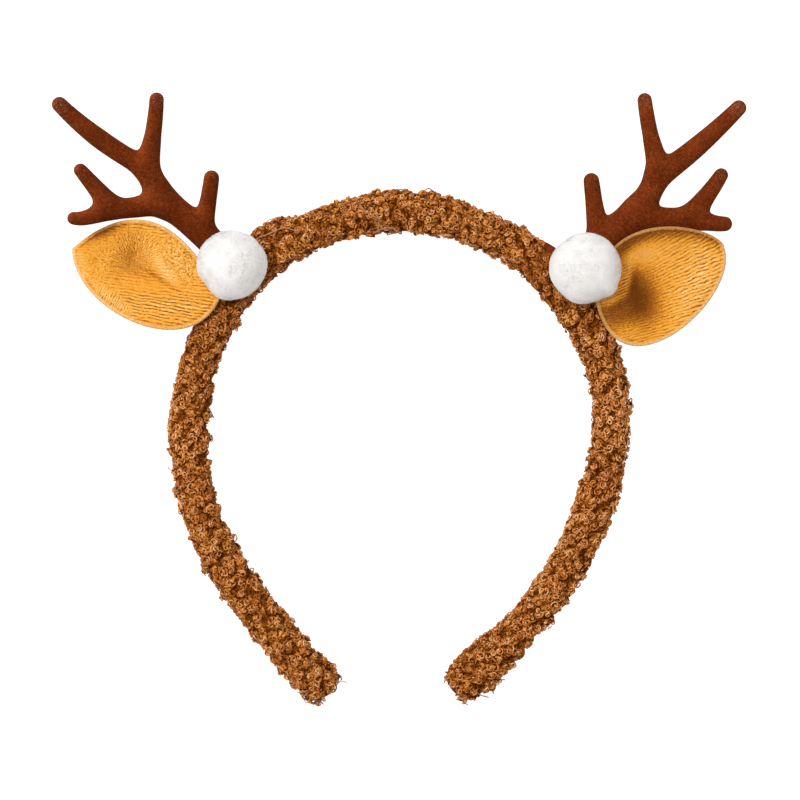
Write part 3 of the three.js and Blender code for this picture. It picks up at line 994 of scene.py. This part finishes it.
def makeFlock():
    material, tree, shader, grain = newMaterial("antlerFlock", flockLook)
    shift = stretch(tree, grain["Mask"], *flockLook["grainTone"])
    colour = colourRamp(tree, mathNode(tree, "ADD", readMark(tree, "tone"), shift, True), flockLook["stops"])
    worn = mathNode(tree, "MULTIPLY", readMark(tree, "wear"), flockLook["wornShare"])
    speck = stretch(tree, grain["Height"], *flockLook["wornSpecks"])
    worn = mathNode(tree, "MULTIPLY", speck, worn, True)
    paint(tree, shader, mixColour(tree, worn, colour, flockLook["worn"]))
    bumpInto(tree, shader, grain["Height"], *flockLook["bump"])
    return material


flock = makeFlock()


def throughThree(a, b, c, t):
    # smooth curve with the ends a and c that passes b half way
    a, b, c, t = np.array(a, float), np.array(b, float), np.array(c, float), t[:, None]
    bend = 2 * b - (a + c) / 2
    return a * (1 - t) ** 2 + 2 * bend * t * (1 - t) + c * t ** 2


def branchField(row, x, y, z):
    # distance from the branch's oval skin: nearest place of its spine in plan, then its radius and lift there
    start, via, tip, radii, tipLift = row
    t = np.linspace(0, 1, antler["samples"])
    spine = throughThree(start, via, tip, t)
    gap = np.hypot(x[..., None] - spine[:, 0], y[..., None] - spine[:, 1])
    nearest = gap.argmin(-1)
    radius = np.interp(t, (0, 0.5, 1), radii)[nearest]
    lift = (tipLift * t * t)[nearest]
    rise = (z - lift[..., None]) / antler["flatten"]
    return np.sqrt(gap.min(-1)[..., None] ** 2 + rise ** 2) - radius[..., None]


def footField(side, x, y, z):
    # an oval plate lying on the hoop's outer face
    heading = np.radians(antler["footNormal"])
    out = np.cos(heading) * x + np.sin(heading) * y
    along = np.cos(heading) * y - np.sin(heading) * x
    size = (side["footOut"], *antler["footSize"])
    scaled = np.sqrt(((out / size[0]) ** 2 + (along / size[1]) ** 2)[..., None] + (z / size[2]) ** 2)
    return (scaled - 1) * min(size)


def fuseAntler(name, side):
    # the fields run softly together: minus the logarithm of their summed exponentials, zero at the skin
    low, high, voxel = np.array(antler["boxLow"]), np.array(antler["boxHigh"]), antler["voxel"]
    spots = [np.arange(a, b, voxel) for a, b in zip(low, high)]
    x, y = np.meshgrid(spots[0], spots[1], indexing="ij")
    soft, limit = antler["fillet"], antler["fieldLimit"]
    total = np.exp(-footField(side, x, y, spots[2]) / soft)
    for row in antler[name]:
        total += np.exp(-branchField(row, x, y, spots[2]) / soft)
    field = np.clip(-soft * np.log(np.maximum(total, tiny)), -limit, limit)
    grid = openvdb.FloatGrid()
    grid.background = limit
    grid.copyFromArray(field.astype(np.float32))
    points, triangles, quads = grid.convertToPolygons(0.0, 0.0)
    points = (points * voxel + low) * np.array([side["mirror"], 1, 1])
    points = points + np.array([*side["foot"], antler["middle"]])
    return points, quads.astype(int), triangles.astype(int)


def outwardFaces(points, quads, triangles):
    # faces turned round if the closed skin's signed volume is negative
    a, b, c, d = (points[quads[:, k]] for k in range(4))
    volume = np.sum(np.cross(b - a, c - a) * a) + np.sum(np.cross(c - a, d - a) * a)
    if volume < 0:
        return quads[:, ::-1], triangles[:, ::-1]
    return quads, triangles


def makeAntler(name):
    side = sides[name]
    points, quads, triangles = fuseAntler(name, side)
    quads, triangles = outwardFaces(points, quads, triangles)
    piece = putMesh(f"antler{name.title()}", points, quads, triangles, flock)
    wear = np.zeros(len(points))
    for k, worn in antler["wear"].items():
        tip = np.array(side["foot"]) + np.array([side["mirror"], 1]) * antler[name][k][2]
        gap = np.linalg.norm(points[:, :2] - tip, axis=1)
        wear = np.maximum(wear, worn * (1 - smoothStep(gap, *antler["wornReach"])))
    putMark(piece, "wear", wear)
    normals = np.zeros(points.shape, np.float32)
    piece.data.vertex_normals.foreach_get("vector", normals.ravel())
    # painted light and shade: lighter where the skin faces the upper left, darker where it faces away
    facingLight = normals @ np.array(flockLook["paintedLightFrom"])
    tone, lighter, darker = flockLook[name]
    tone = tone + np.where(facingLight > 0, lighter, darker) * facingLight + ripples(points, flockLook["clouds"])
    putMark(piece, "tone", tone)
    finishPiece(piece, f"antler_{name}")
    print("antler", name, "faces:", len(quads) + len(triangles))


for sideName in sides:
    makeAntler(sideName)


# ears: velvet leaves with a rolled rim, cupped and creased

ear = {
    "half": 0.95,  # half the thickness of the leaf
    "bead": 1.0,  # radius of the rolled rim
    "grooveAt": 1.6,
    "grooveDepth": 0.3,
    "grooveWidth": 0.4,
    "crumple": ((0.14, 7.0, 21), (0.056, 2.5, 22)),  # depth, wavelength and seed of each ripple
    "columns": 176,
    "samples": 400,
    "innerRings": (0.9, 38),  # out to this share of the leaf
    "rimRings": (0.905, 18),  # closer together, from here to the rim
    "middleFromRim": 20.0,  # about the distance at the poles
    "left": {
        "root": (-56.5, 33.0), "tip": (-104.2, 48.0),
        "upper": ((-63.5, 46.3), (-77.8, 70.6)), "lower": ((-64.5, 10.2), (-103.4, 26.8)),
        "rootZ": 15.0, "tipZ": 10.5, "cup": 2.0,
        "folds": (  # x, y, direction, length, width, rise
            (-85.0, 45.5, 60.0, 8.5, 5.0, -2.8),
            (-75.5, 42.0, -60.0, 8.0, 3.2, 1.5),
            (-76.0, 37.2, -29.0, 8.0, 2.0, -1.3),
            (-84.0, 33.0, -8.0, 16.0, 3.5, 1.0),
        ),
        "tones": (  # x, y, direction, length, width, tone: minus is deep, plus is pale; mostly painted shade in hollows and creases, painted shadows of the antler and the lip, and painted highlights on ridges, with some patches of the pile's own tone
            (-85.6, 45.6, 85.0, 6.5, 5.0, -0.09),
            (-85.8, 45.8, 75.0, 4.2, 1.8, -0.26),
            (-76.8, 38.6, -33.0, 7.0, 0.8, -0.42),
            (-83.5, 40.0, -20.0, 3.5, 0.9, -0.25),
            (-74.9, 41.4, -51.0, 6.0, 1.8, 0.5),
            (-94.0, 54.6, 24.0, 6.5, 2.4, -1.3),
            (-91.5, 31.0, -42.0, 10.0, 3.0, 0.34),
            (-70.0, 45.0, -50.0, 10.0, 5.5, 0.15),
            (-78.0, 28.0, -8.0, 14.0, 4.0, 0.04),
            (-102.0, 44.0, -70.0, 8.0, 1.6, 0.35),
        ),
        "relief": (  # the same, for how much more or less the strokes stand out
            (-96.0, 49.6, 30.0, 8.0, 5.0, -0.45),
            (-96.0, 42.5, 65.0, 8.0, 4.5, -0.15),
            (-81.0, 36.5, -8.0, 12.0, 2.7, -0.5),
            (-72.5, 29.6, -8.0, 13.0, 4.0, 0.7),
            (-86.5, 46.0, 0.0, 8.0, 6.5, 0.5),
            (-69.8, 44.5, -65.0, 9.5, 5.5, 0.45),
            (-91.0, 31.0, -45.0, 9.0, 3.0, 0.25),
        ),
        "wales": (  # lines fan out of a far point; later rows cover the patch that they name
            {"centre": (-400.0, 82.0), "patch": None},
            {"centre": (-84.6, 42.2), "patch": (-84.5, 46.8, 0.0, 10.5, 7.0)},
            {"centre": (-240.0, -228.0), "patch": (-91.5, 31.6, -45.0, 8.0, 3.0)},
        ),
        "dapple": ((-69.8, 44.5, -65.0, 9.5, 5.5), (-96.0, 42.5, 65.0, 8.5, 4.5)),
        "rimShare": 0.5,  # how far the rim is the paler brown of its binding
        "rimFloor": -0.8,  # the rim's deepest tone
    },
    "right": {
        "root": (61.5, 35.5), "tip": (103.2, 48.3),
        "upper": ((67.4, 64.6), (103.8, 53.8)), "lower": ((66.7, -5.5), (109.2, 31.7)),
        "rootZ": 13.5, "tipZ": 13.0, "cup": 2.0,
        "folds": (
            (78.0, 32.5, -67.0, 11.0, 6.5, -6.0),
            (70.5, 36.0, -72.0, 12.0, 3.2, 2.2),
            (72.2, 37.8, 78.0, 6.0, 1.5, 1.2),
            (67.4, 31.4, 18.0, 5.0, 1.3, 1.2),
            (84.0, 52.5, 5.0, 14.0, 3.0, 1.5),
        ),
        "tones": (
            (77.4, 33.2, -73.0, 9.2, 4.9, -0.92),
            (72.7, 37.6, 80.0, 5.5, 1.1, 0.45),
            (67.8, 31.7, 22.0, 4.5, 0.9, 0.45),
            (75.0, 36.8, 80.0, 5.0, 1.1, -0.3),
            (69.6, 29.6, 25.0, 5.0, 1.1, -0.3),
            (72.0, 33.0, 50.0, 3.0, 1.7, -0.45),
            (71.5, 50.4, 40.0, 5.0, 2.2, -0.6),
            (76.8, 46.0, 30.0, 6.5, 4.0, 0.36),
            (69.3, 26.8, 15.0, 8.0, 4.2, -0.85),
            (77.5, 53.0, 25.0, 7.0, 3.2, -1.1),
            (87.0, 54.4, -3.0, 9.0, 3.0, -1.0),
            (98.5, 51.4, -25.0, 7.5, 2.3, -0.6),
            (71.0, 48.0, 60.0, 5.0, 2.4, -0.65),
            (95.0, 37.0, 60.0, 14.0, 7.5, 0.24),
            (84.0, 18.5, 25.0, 14.0, 2.6, 0.2),
        ),
        "relief": (
            (77.6, 34.0, -68.0, 9.0, 5.0, -0.6),
            (76.8, 46.6, 30.0, 7.0, 4.5, -0.45),
            (69.0, 26.0, 20.0, 8.0, 4.0, -0.35),
            (96.0, 39.0, 65.0, 12.0, 6.0, 0.6),
            (72.4, 39.6, 80.0, 5.5, 1.8, 0.75),
        ),
        "wales": (
            {"centre": (-6.0, -2.0), "patch": None},
            {"centre": (-163.5, -141.7), "patch": (72.6, 43.4, 70.0, 4.5, 2.2)},
            {"centre": (-227.0, -14.0), "patch": (68.5, 26.5, -30.0, 7.0, 4.0)},
        ),
        "dapple": ((80.0, 54.0, 5.0, 12.0, 1.6),),
        "rimShare": 0.85, "rimFloor": -0.4,
    },
}

velvetLook = {
    "shader": {
        "Roughness": 0.75, "Specular IOR Level": 0.1,
        "Sheen Weight": 0.2, "Sheen Tint": (1.0, 0.7, 0.35, 1),
    },
    "grain": {"Fine": 1900.0, "Coarse": 1750.0, "Mix": 0.5},
    "grainTone": (0.0, 1.0, -0.16, 0.16),
    "grainHeight": 0.5,
    "bump": (0.5, 0.2),
    "stops": (
        (0.0, (0.19, 0.05, 0.002)), (0.25, (0.43, 0.145, 0.009)), (0.4, (0.66, 0.255, 0.021)),
        (0.5, (0.84, 0.345, 0.031)), (0.62, (0.88, 0.41, 0.07)), (0.8, (0.95, 0.54, 0.165)),
        (1.0, (1.0, 0.70, 0.36)),
    ),
    "rim": ((0.0, (0.28, 0.12, 0.045)), (0.5, (0.62, 0.325, 0.11)), (1.0, (0.95, 0.64, 0.34))),
    "contrast": 0.34,
    "strokes": (  # of each row of wales; spacing is from one stroke to the next
        {"Length": 4.0, "Spacing": 1.0, "Waver": 1.5},
        {"Length": 1.4, "Spacing": 0.7, "Waver": 3.0},
        {"Length": 2.2, "Spacing": 0.78, "Waver": 2.4},
    ),
    "squash": 0.4,  # the noise is this much slower across the strokes
    "fadeScale": 2.2,
    "fade": (0.38, 0.6, 0.1, 1.15),
    "groovePower": 1.8,
    # the strokes' crests and grooves, for bump and for painted highlight and painted shade in the tone
    "crest": (0.0, 1.0, 0.75, -1.25),
}


def makeStrokes():
    # broken strokes: narrow grooves of an even wave that wavers and fades in and out along them
    group, enter, leave = newGroup(
        "velvetStrokes",
        {"Along": 0.0, "Across": 0.0, "Length": 4.0, "Spacing": 1.0, "Waver": 2.0},
        ("Height",),
    )
    u = mathNode(group, "DIVIDE", enter["Along"], enter["Length"])
    v = mathNode(group, "DIVIDE", enter["Across"], enter["Spacing"])
    slow = mathNode(group, "MULTIPLY", v, velvetLook["squash"])
    place = addNode(group, "ShaderNodeCombineXYZ", X=u, Y=slow).outputs[0]
    waver = mathNode(group, "MULTIPLY", noiseNode(group, place, 1.0, 2.0), enter["Waver"])
    wave = mathNode(group, "SINE", mathNode(group, "MULTIPLY", mathNode(group, "ADD", v, waver), turn))
    groove = mathNode(group, "POWER", stretch(group, wave, 1.0, -1.0), velvetLook["groovePower"])
    crest = stretch(group, groove, *velvetLook["crest"])
    fade = stretch(group, noiseNode(group, place, velvetLook["fadeScale"], 2.0), *velvetLook["fade"])
    group.links.new(mathNode(group, "MULTIPLY", crest, fade), leave["Height"])
    return group


velvetStrokes = makeStrokes()


def placeStrokes(tree, k):
    along, across = readMark(tree, f"along{k}"), readMark(tree, f"across{k}")
    return placeGroup(tree, velvetStrokes, Along=along, Across=across, **velvetLook["strokes"][k])["Height"]


def makeVelvet():
    # strokes and dapples in the pile move the tone up and down: the strokes are the pile's own stripes with
    # painted shade in their grooves and painted highlights on their crests, and the tone mark is mostly
    # painted shade, shadow and highlight
    material, tree, shader, grain = newMaterial("earVelvet", velvetLook)
    wave = placeStrokes(tree, 0)
    for k in (1, 2):
        wave = mixValue(tree, readMark(tree, f"share{k}"), wave, placeStrokes(tree, k))
    wave = mixValue(tree, readMark(tree, "dapple"), wave, stretch(tree, grain["Mottle"], 0.0, 1.0, -1.0, 1.0))
    wave = mathNode(tree, "MULTIPLY", wave, readMark(tree, "relief"))
    shift = mathNode(tree, "MULTIPLY", wave, velvetLook["contrast"])
    shift = mathNode(tree, "ADD", shift, stretch(tree, grain["Mask"], *velvetLook["grainTone"]))
    share = mathNode(tree, "ADD", stretch(tree, readMark(tree, "tone"), -1.0, 1.0), shift, True)
    pile, binding = (colourRamp(tree, share, velvetLook[key]) for key in ("stops", "rim"))
    paint(tree, shader, mixColour(tree, readMark(tree, "rim"), pile, binding))
    height = mathNode(tree, "ADD", wave, mathNode(tree, "MULTIPLY", grain["Mask"], velvetLook["grainHeight"]))
    bumpInto(tree, shader, height, *velvetLook["bump"])
    return material


velvet = makeVelvet()


def bezier(a, b, c, d, t):
    a, b, c, d = (np.array(v) for v in (a, b, c, d))
    t = t[:, None]
    return a * (1 - t) ** 3 + 3 * b * t * (1 - t) ** 2 + 3 * c * t ** 2 * (1 - t) + d * t ** 3


def earOutline(leaf, mirror):
    # two edges from root to tip, walked clockwise as one closed line
    t = np.linspace(0, 1, ear["samples"])
    half = ear["columns"] // 2
    keys = ("upper", "lower") if mirror > 0 else ("lower", "upper")
    edges = (bezier(leaf["root"], *leaf[key], leaf["tip"], t) for key in keys)
    outgoing, returning = (evenlySpaced(edge, half + 1) for edge in edges)
    return np.concatenate([outgoing[:-1], returning[:0:-1]])


def leafMiddle(leaf):
    return (np.array(leaf["root"]) + np.array(leaf["tip"])) / 2


def earHeight(leaf, spots, reach):
    # slope from root to tip, a cup towards the rim, and bell-shaped folds
    root, tip = np.array(leaf["root"]), np.array(leaf["tip"])
    axis = tip - root
    share = (spots - root) @ axis / (axis @ axis)
    height = leaf["rootZ"] + (leaf["tipZ"] - leaf["rootZ"]) * share + leaf["cup"] * reach ** 2
    return height + bells(spots[..., 0], spots[..., 1], leaf["folds"])


earTone = {
    "fanLeast": 7.0,  # strokes keep at least the spacing that they have this far from their centre
    "patchEdge": (0.2, 0.6),
    "rimEdge": (0.6, 1.5),
    "rimLighter": 0.3,
    "rimSmoother": 0.3,
    "rimDapple": 0.8,
    "groove": (0.3, 0.35),  # depth of tone and width
    "dashes": (2.2, 23),  # wavelength and seed of the breaks in the groove's tone
    "dashEdge": (-0.6, 0.8),
    "relief": 0.55,
    "reliefLimits": (0.08, 1.2),
    "dappleEdge": (0.2, 0.7),
}


def earMarks(leaf, points, fromRim):
    # along the strokes is the distance from their centre, across them the angle; tone and relief are bells,
    # the tone bells mostly painted shade, shadow and highlight
    x, y = points[:, 0], points[:, 1]
    marks = {}
    for k, row in enumerate(leaf["wales"]):
        dx, dy = x - row["centre"][0], y - row["centre"][1]
        spot = leafMiddle(leaf) if row["patch"] is None else np.array(row["patch"][:2])
        reach = max(np.hypot(*(spot - row["centre"])), earTone["fanLeast"])
        marks[f"along{k}"] = np.hypot(dx, dy)
        marks[f"across{k}"] = np.arctan2(dy, dx) * reach
        if row["patch"] is not None:
            marks[f"share{k}"] = smoothStep(bell(x, y, row["patch"]), *earTone["patchEdge"])
    rim = 1 - smoothStep(fromRim, *earTone["rimEdge"])
    depth, width = earTone["groove"]
    groove = np.exp(-(((fromRim - ear["grooveAt"]) / width) ** 2))
    dashes = smoothStep(rippleField(points, *earTone["dashes"]), *earTone["dashEdge"])
    # the tone bells are mostly painted shade, painted shadows and painted highlights
    tone = bells(x, y, leaf["tones"]) - depth * groove * dashes
    tone = tone + rim * (np.maximum(tone + earTone["rimLighter"], leaf["rimFloor"]) - tone)
    relief = np.clip(earTone["relief"] + bells(x, y, leaf["relief"]), *earTone["reliefLimits"])
    dappled = sum(bell(x, y, row) for row in leaf["dapple"])
    marks["rim"] = leaf["rimShare"] * rim
    marks["tone"] = np.clip(tone, -1, 1)
    marks["relief"] = relief * (1 - earTone["rimSmoother"] * rim)
    marks["dapple"] = np.maximum(smoothStep(dappled, *earTone["dappleEdge"]), earTone["rimDapple"] * rim)
    return marks


def makeEar(name):
    # rings from the middle of the leaf out to its rim and back underneath
    leaf, bead = ear[name], ear["bead"]
    edge, middle = earOutline(leaf, sides[name]["mirror"]), leafMiddle(leaf)
    (innerEnd, innerCount), (rimStart, rimCount) = ear["innerRings"], ear["rimRings"]
    reach = np.concatenate([np.linspace(0, innerEnd, innerCount)[1:], np.linspace(rimStart, 1, rimCount)])
    reachAll = np.concatenate([reach, reach[-2::-1]])
    face = np.concatenate([np.ones(len(reach)), -np.ones(len(reach) - 1)])
    spots = middle + reachAll[:, None, None] * (edge - middle)
    fromRim = (1 - reachAll)[:, None] * np.linalg.norm(edge - middle, axis=1)
    half = np.sqrt(np.maximum(bead ** 2 - np.maximum(bead - fromRim, 0) ** 2, 0))
    half = half + (ear["half"] - bead) * smoothStep(fromRim, bead, 2 * bead)
    half = half - ear["grooveDepth"] * np.exp(-(((fromRim - ear["grooveAt"]) / ear["grooveWidth"]) ** 2))
    flat3 = np.concatenate([spots, np.zeros(spots.shape[:2] + (1,))], -1)
    height = earHeight(leaf, spots, reachAll[:, None]) + ripples(flat3, ear["crumple"])
    rings = np.concatenate([spots, (height + face[:, None] * half)[..., None]], -1)
    poles = [[*middle, earHeight(leaf, middle, 0.0) + end * ear["half"]] for end in (1, -1)]
    points, quads, triangles = closedRings(rings, *poles)
    piece = putMesh(f"ear{name.title()}", points, quads, triangles, velvet)
    fromRim = np.concatenate([fromRim.ravel(), [ear["middleFromRim"]] * 2])
    for markName, values in earMarks(leaf, points, fromRim).items():
        putMark(piece, markName, values)
    finishPiece(piece, f"ear_{name}")


for sideName in sides:
    makeEar(sideName)


# pompoms: balls of short white fibre

pompom = {
    "unround": (0.004, 1.3, 31),  # depth, wavelength and seed
    "lump": (0.05, 4.5, 33),
    "fuzz": (0.02, 0.9, 35, 40),  # and the number of waves
    "left": ((8, 24, 0.55), (217, 15, -0.9), (257, 14, 0.35)),  # uneven trim: angle in plan, width, rise
    "right": ((-40, 12, 0.7), (-73, 20, -0.4), (223, 20, -0.4), (125, 20, -0.35)),
    "rings": 90,
    "columns": 140,
    "fibres": 6000,
    "fibreLength": (0.5, 1.2),
    "fibreRadii": (0.055, 0.01),  # at the root and at the tip
    "fibreRoot": 0.1,  # how deep it starts
    "fibreClimb": (0.105, 0.42),  # how far it rises, as a share of its length
    "fibreRoom": 1.1,  # its tip is tested a little further out
    "fibreSeed": 41,
    "seat": 0.4,  # clearance to what the ball is pressed on
    "earEdge": 1.02,  # the ear counts a little past its outline
    "tries": (61, 20),  # steps from the centre to the skin, and the first that is tested
}

fibreLook = {
    "shader": {
        "Roughness": 0.95, "Specular IOR Level": 0.05,
        "Sheen Weight": 0.75, "Sheen Tint": (1.0, 0.97, 0.94, 1),
        "Subsurface Weight": 0.7, "Subsurface Radius": (1.0, 0.94, 0.88), "Subsurface Scale": 7 * mm,
    },
    "grain": {"Fine": 1700.0, "Coarse": 420.0, "Mix": 0.5},
    "bump": (0.35, 0.1),
    "stops": ((0.0, (0.865, 0.846, 0.824)), (1.0, (0.925, 0.908, 0.89))),
}


def makeFibre():
    material, tree, shader, grain = newMaterial("pompomFibre", fibreLook)
    paint(tree, shader, colourRamp(tree, grain["Mask"], fibreLook["stops"]))
    bumpInto(tree, shader, grain["Mask"], *fibreLook["bump"])
    return material


fibre = makeFibre()


def inOval(across, up, halfAcross, halfUp):
    room = pompom["seat"]
    return (across / (halfAcross + room)) ** 2 + (up / (halfUp + room)) ** 2 < 1


def insideNeighbours(points, name):
    # true inside the hoop, the antler's beam and the ear, each grown by the seat's clearance
    side, leaf = sides[name], ear[name]
    plan, z = points[..., :2], points[..., 2]
    hoop = band[name][0][0]
    hoopOut = np.hypot(plan[..., 0], plan[..., 1] - (band["crownY"] - hoop)) - hoop
    inHoop = inOval(hoopOut, z - bandMiddle, band["thickness"] / 2, band["depth"] / 2)
    _, via, _, (radius, *_), _ = antler[name][0]
    away = (plan - np.array(side["foot"])) * np.array([side["mirror"], 1])
    beam = np.array(via, float)
    share = np.clip(away @ beam / (beam @ beam), 0, 1)
    off = np.linalg.norm(away - share[..., None] * beam, axis=-1)
    inBeam = inOval(off, z - antler["middle"], radius, antler["flatten"] * radius)
    toEdge, toSpot = earOutline(leaf, side["mirror"]) - leafMiddle(leaf), plan - leafMiddle(leaf)
    edgeAngle = np.arctan2(toEdge[:, 1], toEdge[:, 0])
    order = np.argsort(edgeAngle)
    spotAngle = np.arctan2(toSpot[..., 1], toSpot[..., 0])
    reachOut = np.interp(spotAngle, edgeAngle[order], np.linalg.norm(toEdge, axis=1)[order], period=turn)
    reach = np.linalg.norm(toSpot, axis=-1) / reachOut
    level = earHeight(leaf, plan, np.minimum(reach, 1))
    inEar = (reach < pompom["earEdge"]) & (np.abs(z - level) < ear["bead"] + pompom["seat"])
    return inHoop | inBeam | inEar


def ballRadius(unit, name):
    # the ball's radius in each direction, with bell-shaped rises round its middle where the trim is uneven
    angle = np.arctan2(unit[..., 1], unit[..., 0])
    radius = sides[name]["ball"] + np.zeros(angle.shape)
    for at, width, rise in pompom[name]:
        off = np.angle(np.exp(1j * (angle - np.radians(at)))) / np.radians(width)
        radius += rise * np.exp(-off ** 2) * (1 - unit[..., 2] ** 2)
    return radius


def makePompom(name):
    # each direction's radius is that of a lumpy ball, cut short where the ball meets the hoop, antler or ear
    side = sides[name]
    centre, size = np.array(side["pompom"]), side["ball"]
    level = np.linspace(0, np.pi, pompom["rings"] + 2)[1:-1]
    angle = turn * np.arange(pompom["columns"]) / pompom["columns"]
    unit = np.stack([
        np.outer(np.sin(level), np.cos(angle)),
        np.outer(-np.cos(level), np.ones(len(angle))),
        np.outer(-np.sin(level), np.sin(angle)),
    ], -1)

    def uneven(key, places):
        depth, wavelength, seed, *waves = pompom[key]
        return depth * rippleField(places, wavelength, seed + side["seed"], *waves)

    ball = ballRadius(unit, name) * (1 + uneven("unround", unit))
    ball = ball + uneven("lump", unit * size) + uneven("fuzz", unit * size)
    steps, first = pompom["tries"]
    tries = np.linspace(0, 1, steps)[first:]
    blocked = np.stack([insideNeighbours(centre + unit * (ball * t)[..., None], name) for t in tries])
    share = np.where(blocked.any(0), tries[np.maximum(blocked.argmax(0) - 1, 0)], 1.0)
    rings = centre + unit * (ball * share)[..., None]
    points, quads, triangles = closedRings(rings, rings[0].mean(0), rings[-1].mean(0))
    piece = putMesh(f"pompom{name.title()}", points, quads, triangles, fibre)
    finishPiece(piece, f"pompom_{name}")
    makeFibres(name, centre)


def makeFibres(name, centre):
    # short tapered fibres lying over the ball, spread evenly by the golden angle
    draw = np.random.default_rng(pompom["fibreSeed"] + sides[name]["seed"])
    count = pompom["fibres"]
    i = np.arange(count)
    z = 1 - (2 * i + 1) / count
    flat = np.sqrt(1 - z * z)[:, None] * onCircle(i * np.pi * (3 - np.sqrt(5)))
    unit = np.concatenate([flat, z[:, None]], 1)
    lean = unitRows(np.cross(unit, draw.normal(size=(count, 3))))
    length = draw.uniform(*pompom["fibreLength"], count)[:, None]
    climb = draw.uniform(*pompom["fibreClimb"], count)[:, None]
    root = centre + unit * (ballRadius(unit, name) - pompom["fibreRoot"])[:, None]
    tip = root + length * (lean + climb * unit)
    clear = ~insideNeighbours(centre + pompom["fibreRoom"] * (tip - centre), name)
    paths = np.stack([root, tip], 1)[clear]
    radii = np.repeat([pompom["fibreRadii"]], len(paths), axis=0)
    axes = np.cross(lean, unit)[clear]
    piece = putStrands(f"pompomFibres{name.title()}", paths, radii, axes, fibre, {})
    finishPiece(piece, f"pompom_{name}")
    print("pompom", name, "fibres:", len(paths))


for sideName in sides:
    makePompom(sideName)


# studio: pale floor, soft light from above and the upper left

studio = {
    "floorSize": 6.0,
    "floorColour": (0.4, 0.4, 0.398, 1),
    "floorGlow": (0.3, 0.95),  # lit from below: what it gives the headband, and how bright it looks
    "floorRoughness": 0.9,
    "skyStrength": 0.68,
    "keyPlace": (-0.55, 0.5, 1.2),
    "keySize": 0.5,
    "keyPower": 10.0,
}


def addStudio():
    material = bpy.data.materials.new("paleFloor")
    material.use_nodes = True
    tree = material.node_tree
    shader = tree.nodes["Principled BSDF"]
    setSockets(shader, {
        "Base Color": studio["floorColour"], "Roughness": studio["floorRoughness"],
        "Emission Color": (1, 1, 1, 1),
    })
    seen = tree.nodes.new("ShaderNodeLightPath").outputs["Is Camera Ray"]
    tree.links.new(stretch(tree, seen, 0.0, 1.0, *studio["floorGlow"]), shader.inputs["Emission Strength"])
    half = studio["floorSize"] / 2 / mm
    corners = np.array([[-half, -half, 0], [half, -half, 0], [half, half, 0], [-half, half, 0]])
    floor = putMesh("floor", corners, np.array([[0, 1, 2, 3]]), np.zeros((0, 3), int), material, smooth=False)
    world = bpy.data.worlds.new("studioSky")
    bpy.context.scene.world = world
    world.use_nodes = True
    sky = {"Color": (1, 1, 1, 1), "Strength": studio["skyStrength"]}
    setSockets(world.node_tree.nodes["Background"], sky)
    data = bpy.data.lights.new("keyLight", "AREA")
    data.shape, data.size, data.energy = "DISK", studio["keySize"], studio["keyPower"]
    key = putObject("keyLight", data)
    key.location = studio["keyPlace"]
    key.rotation_mode = "QUATERNION"
    key.rotation_quaternion = (-Vector(studio["keyPlace"])).to_track_quat("-Z", "Y")
    bpy.context.scene.view_settings.view_transform = "Standard"


addStudio()
print("studio lit")
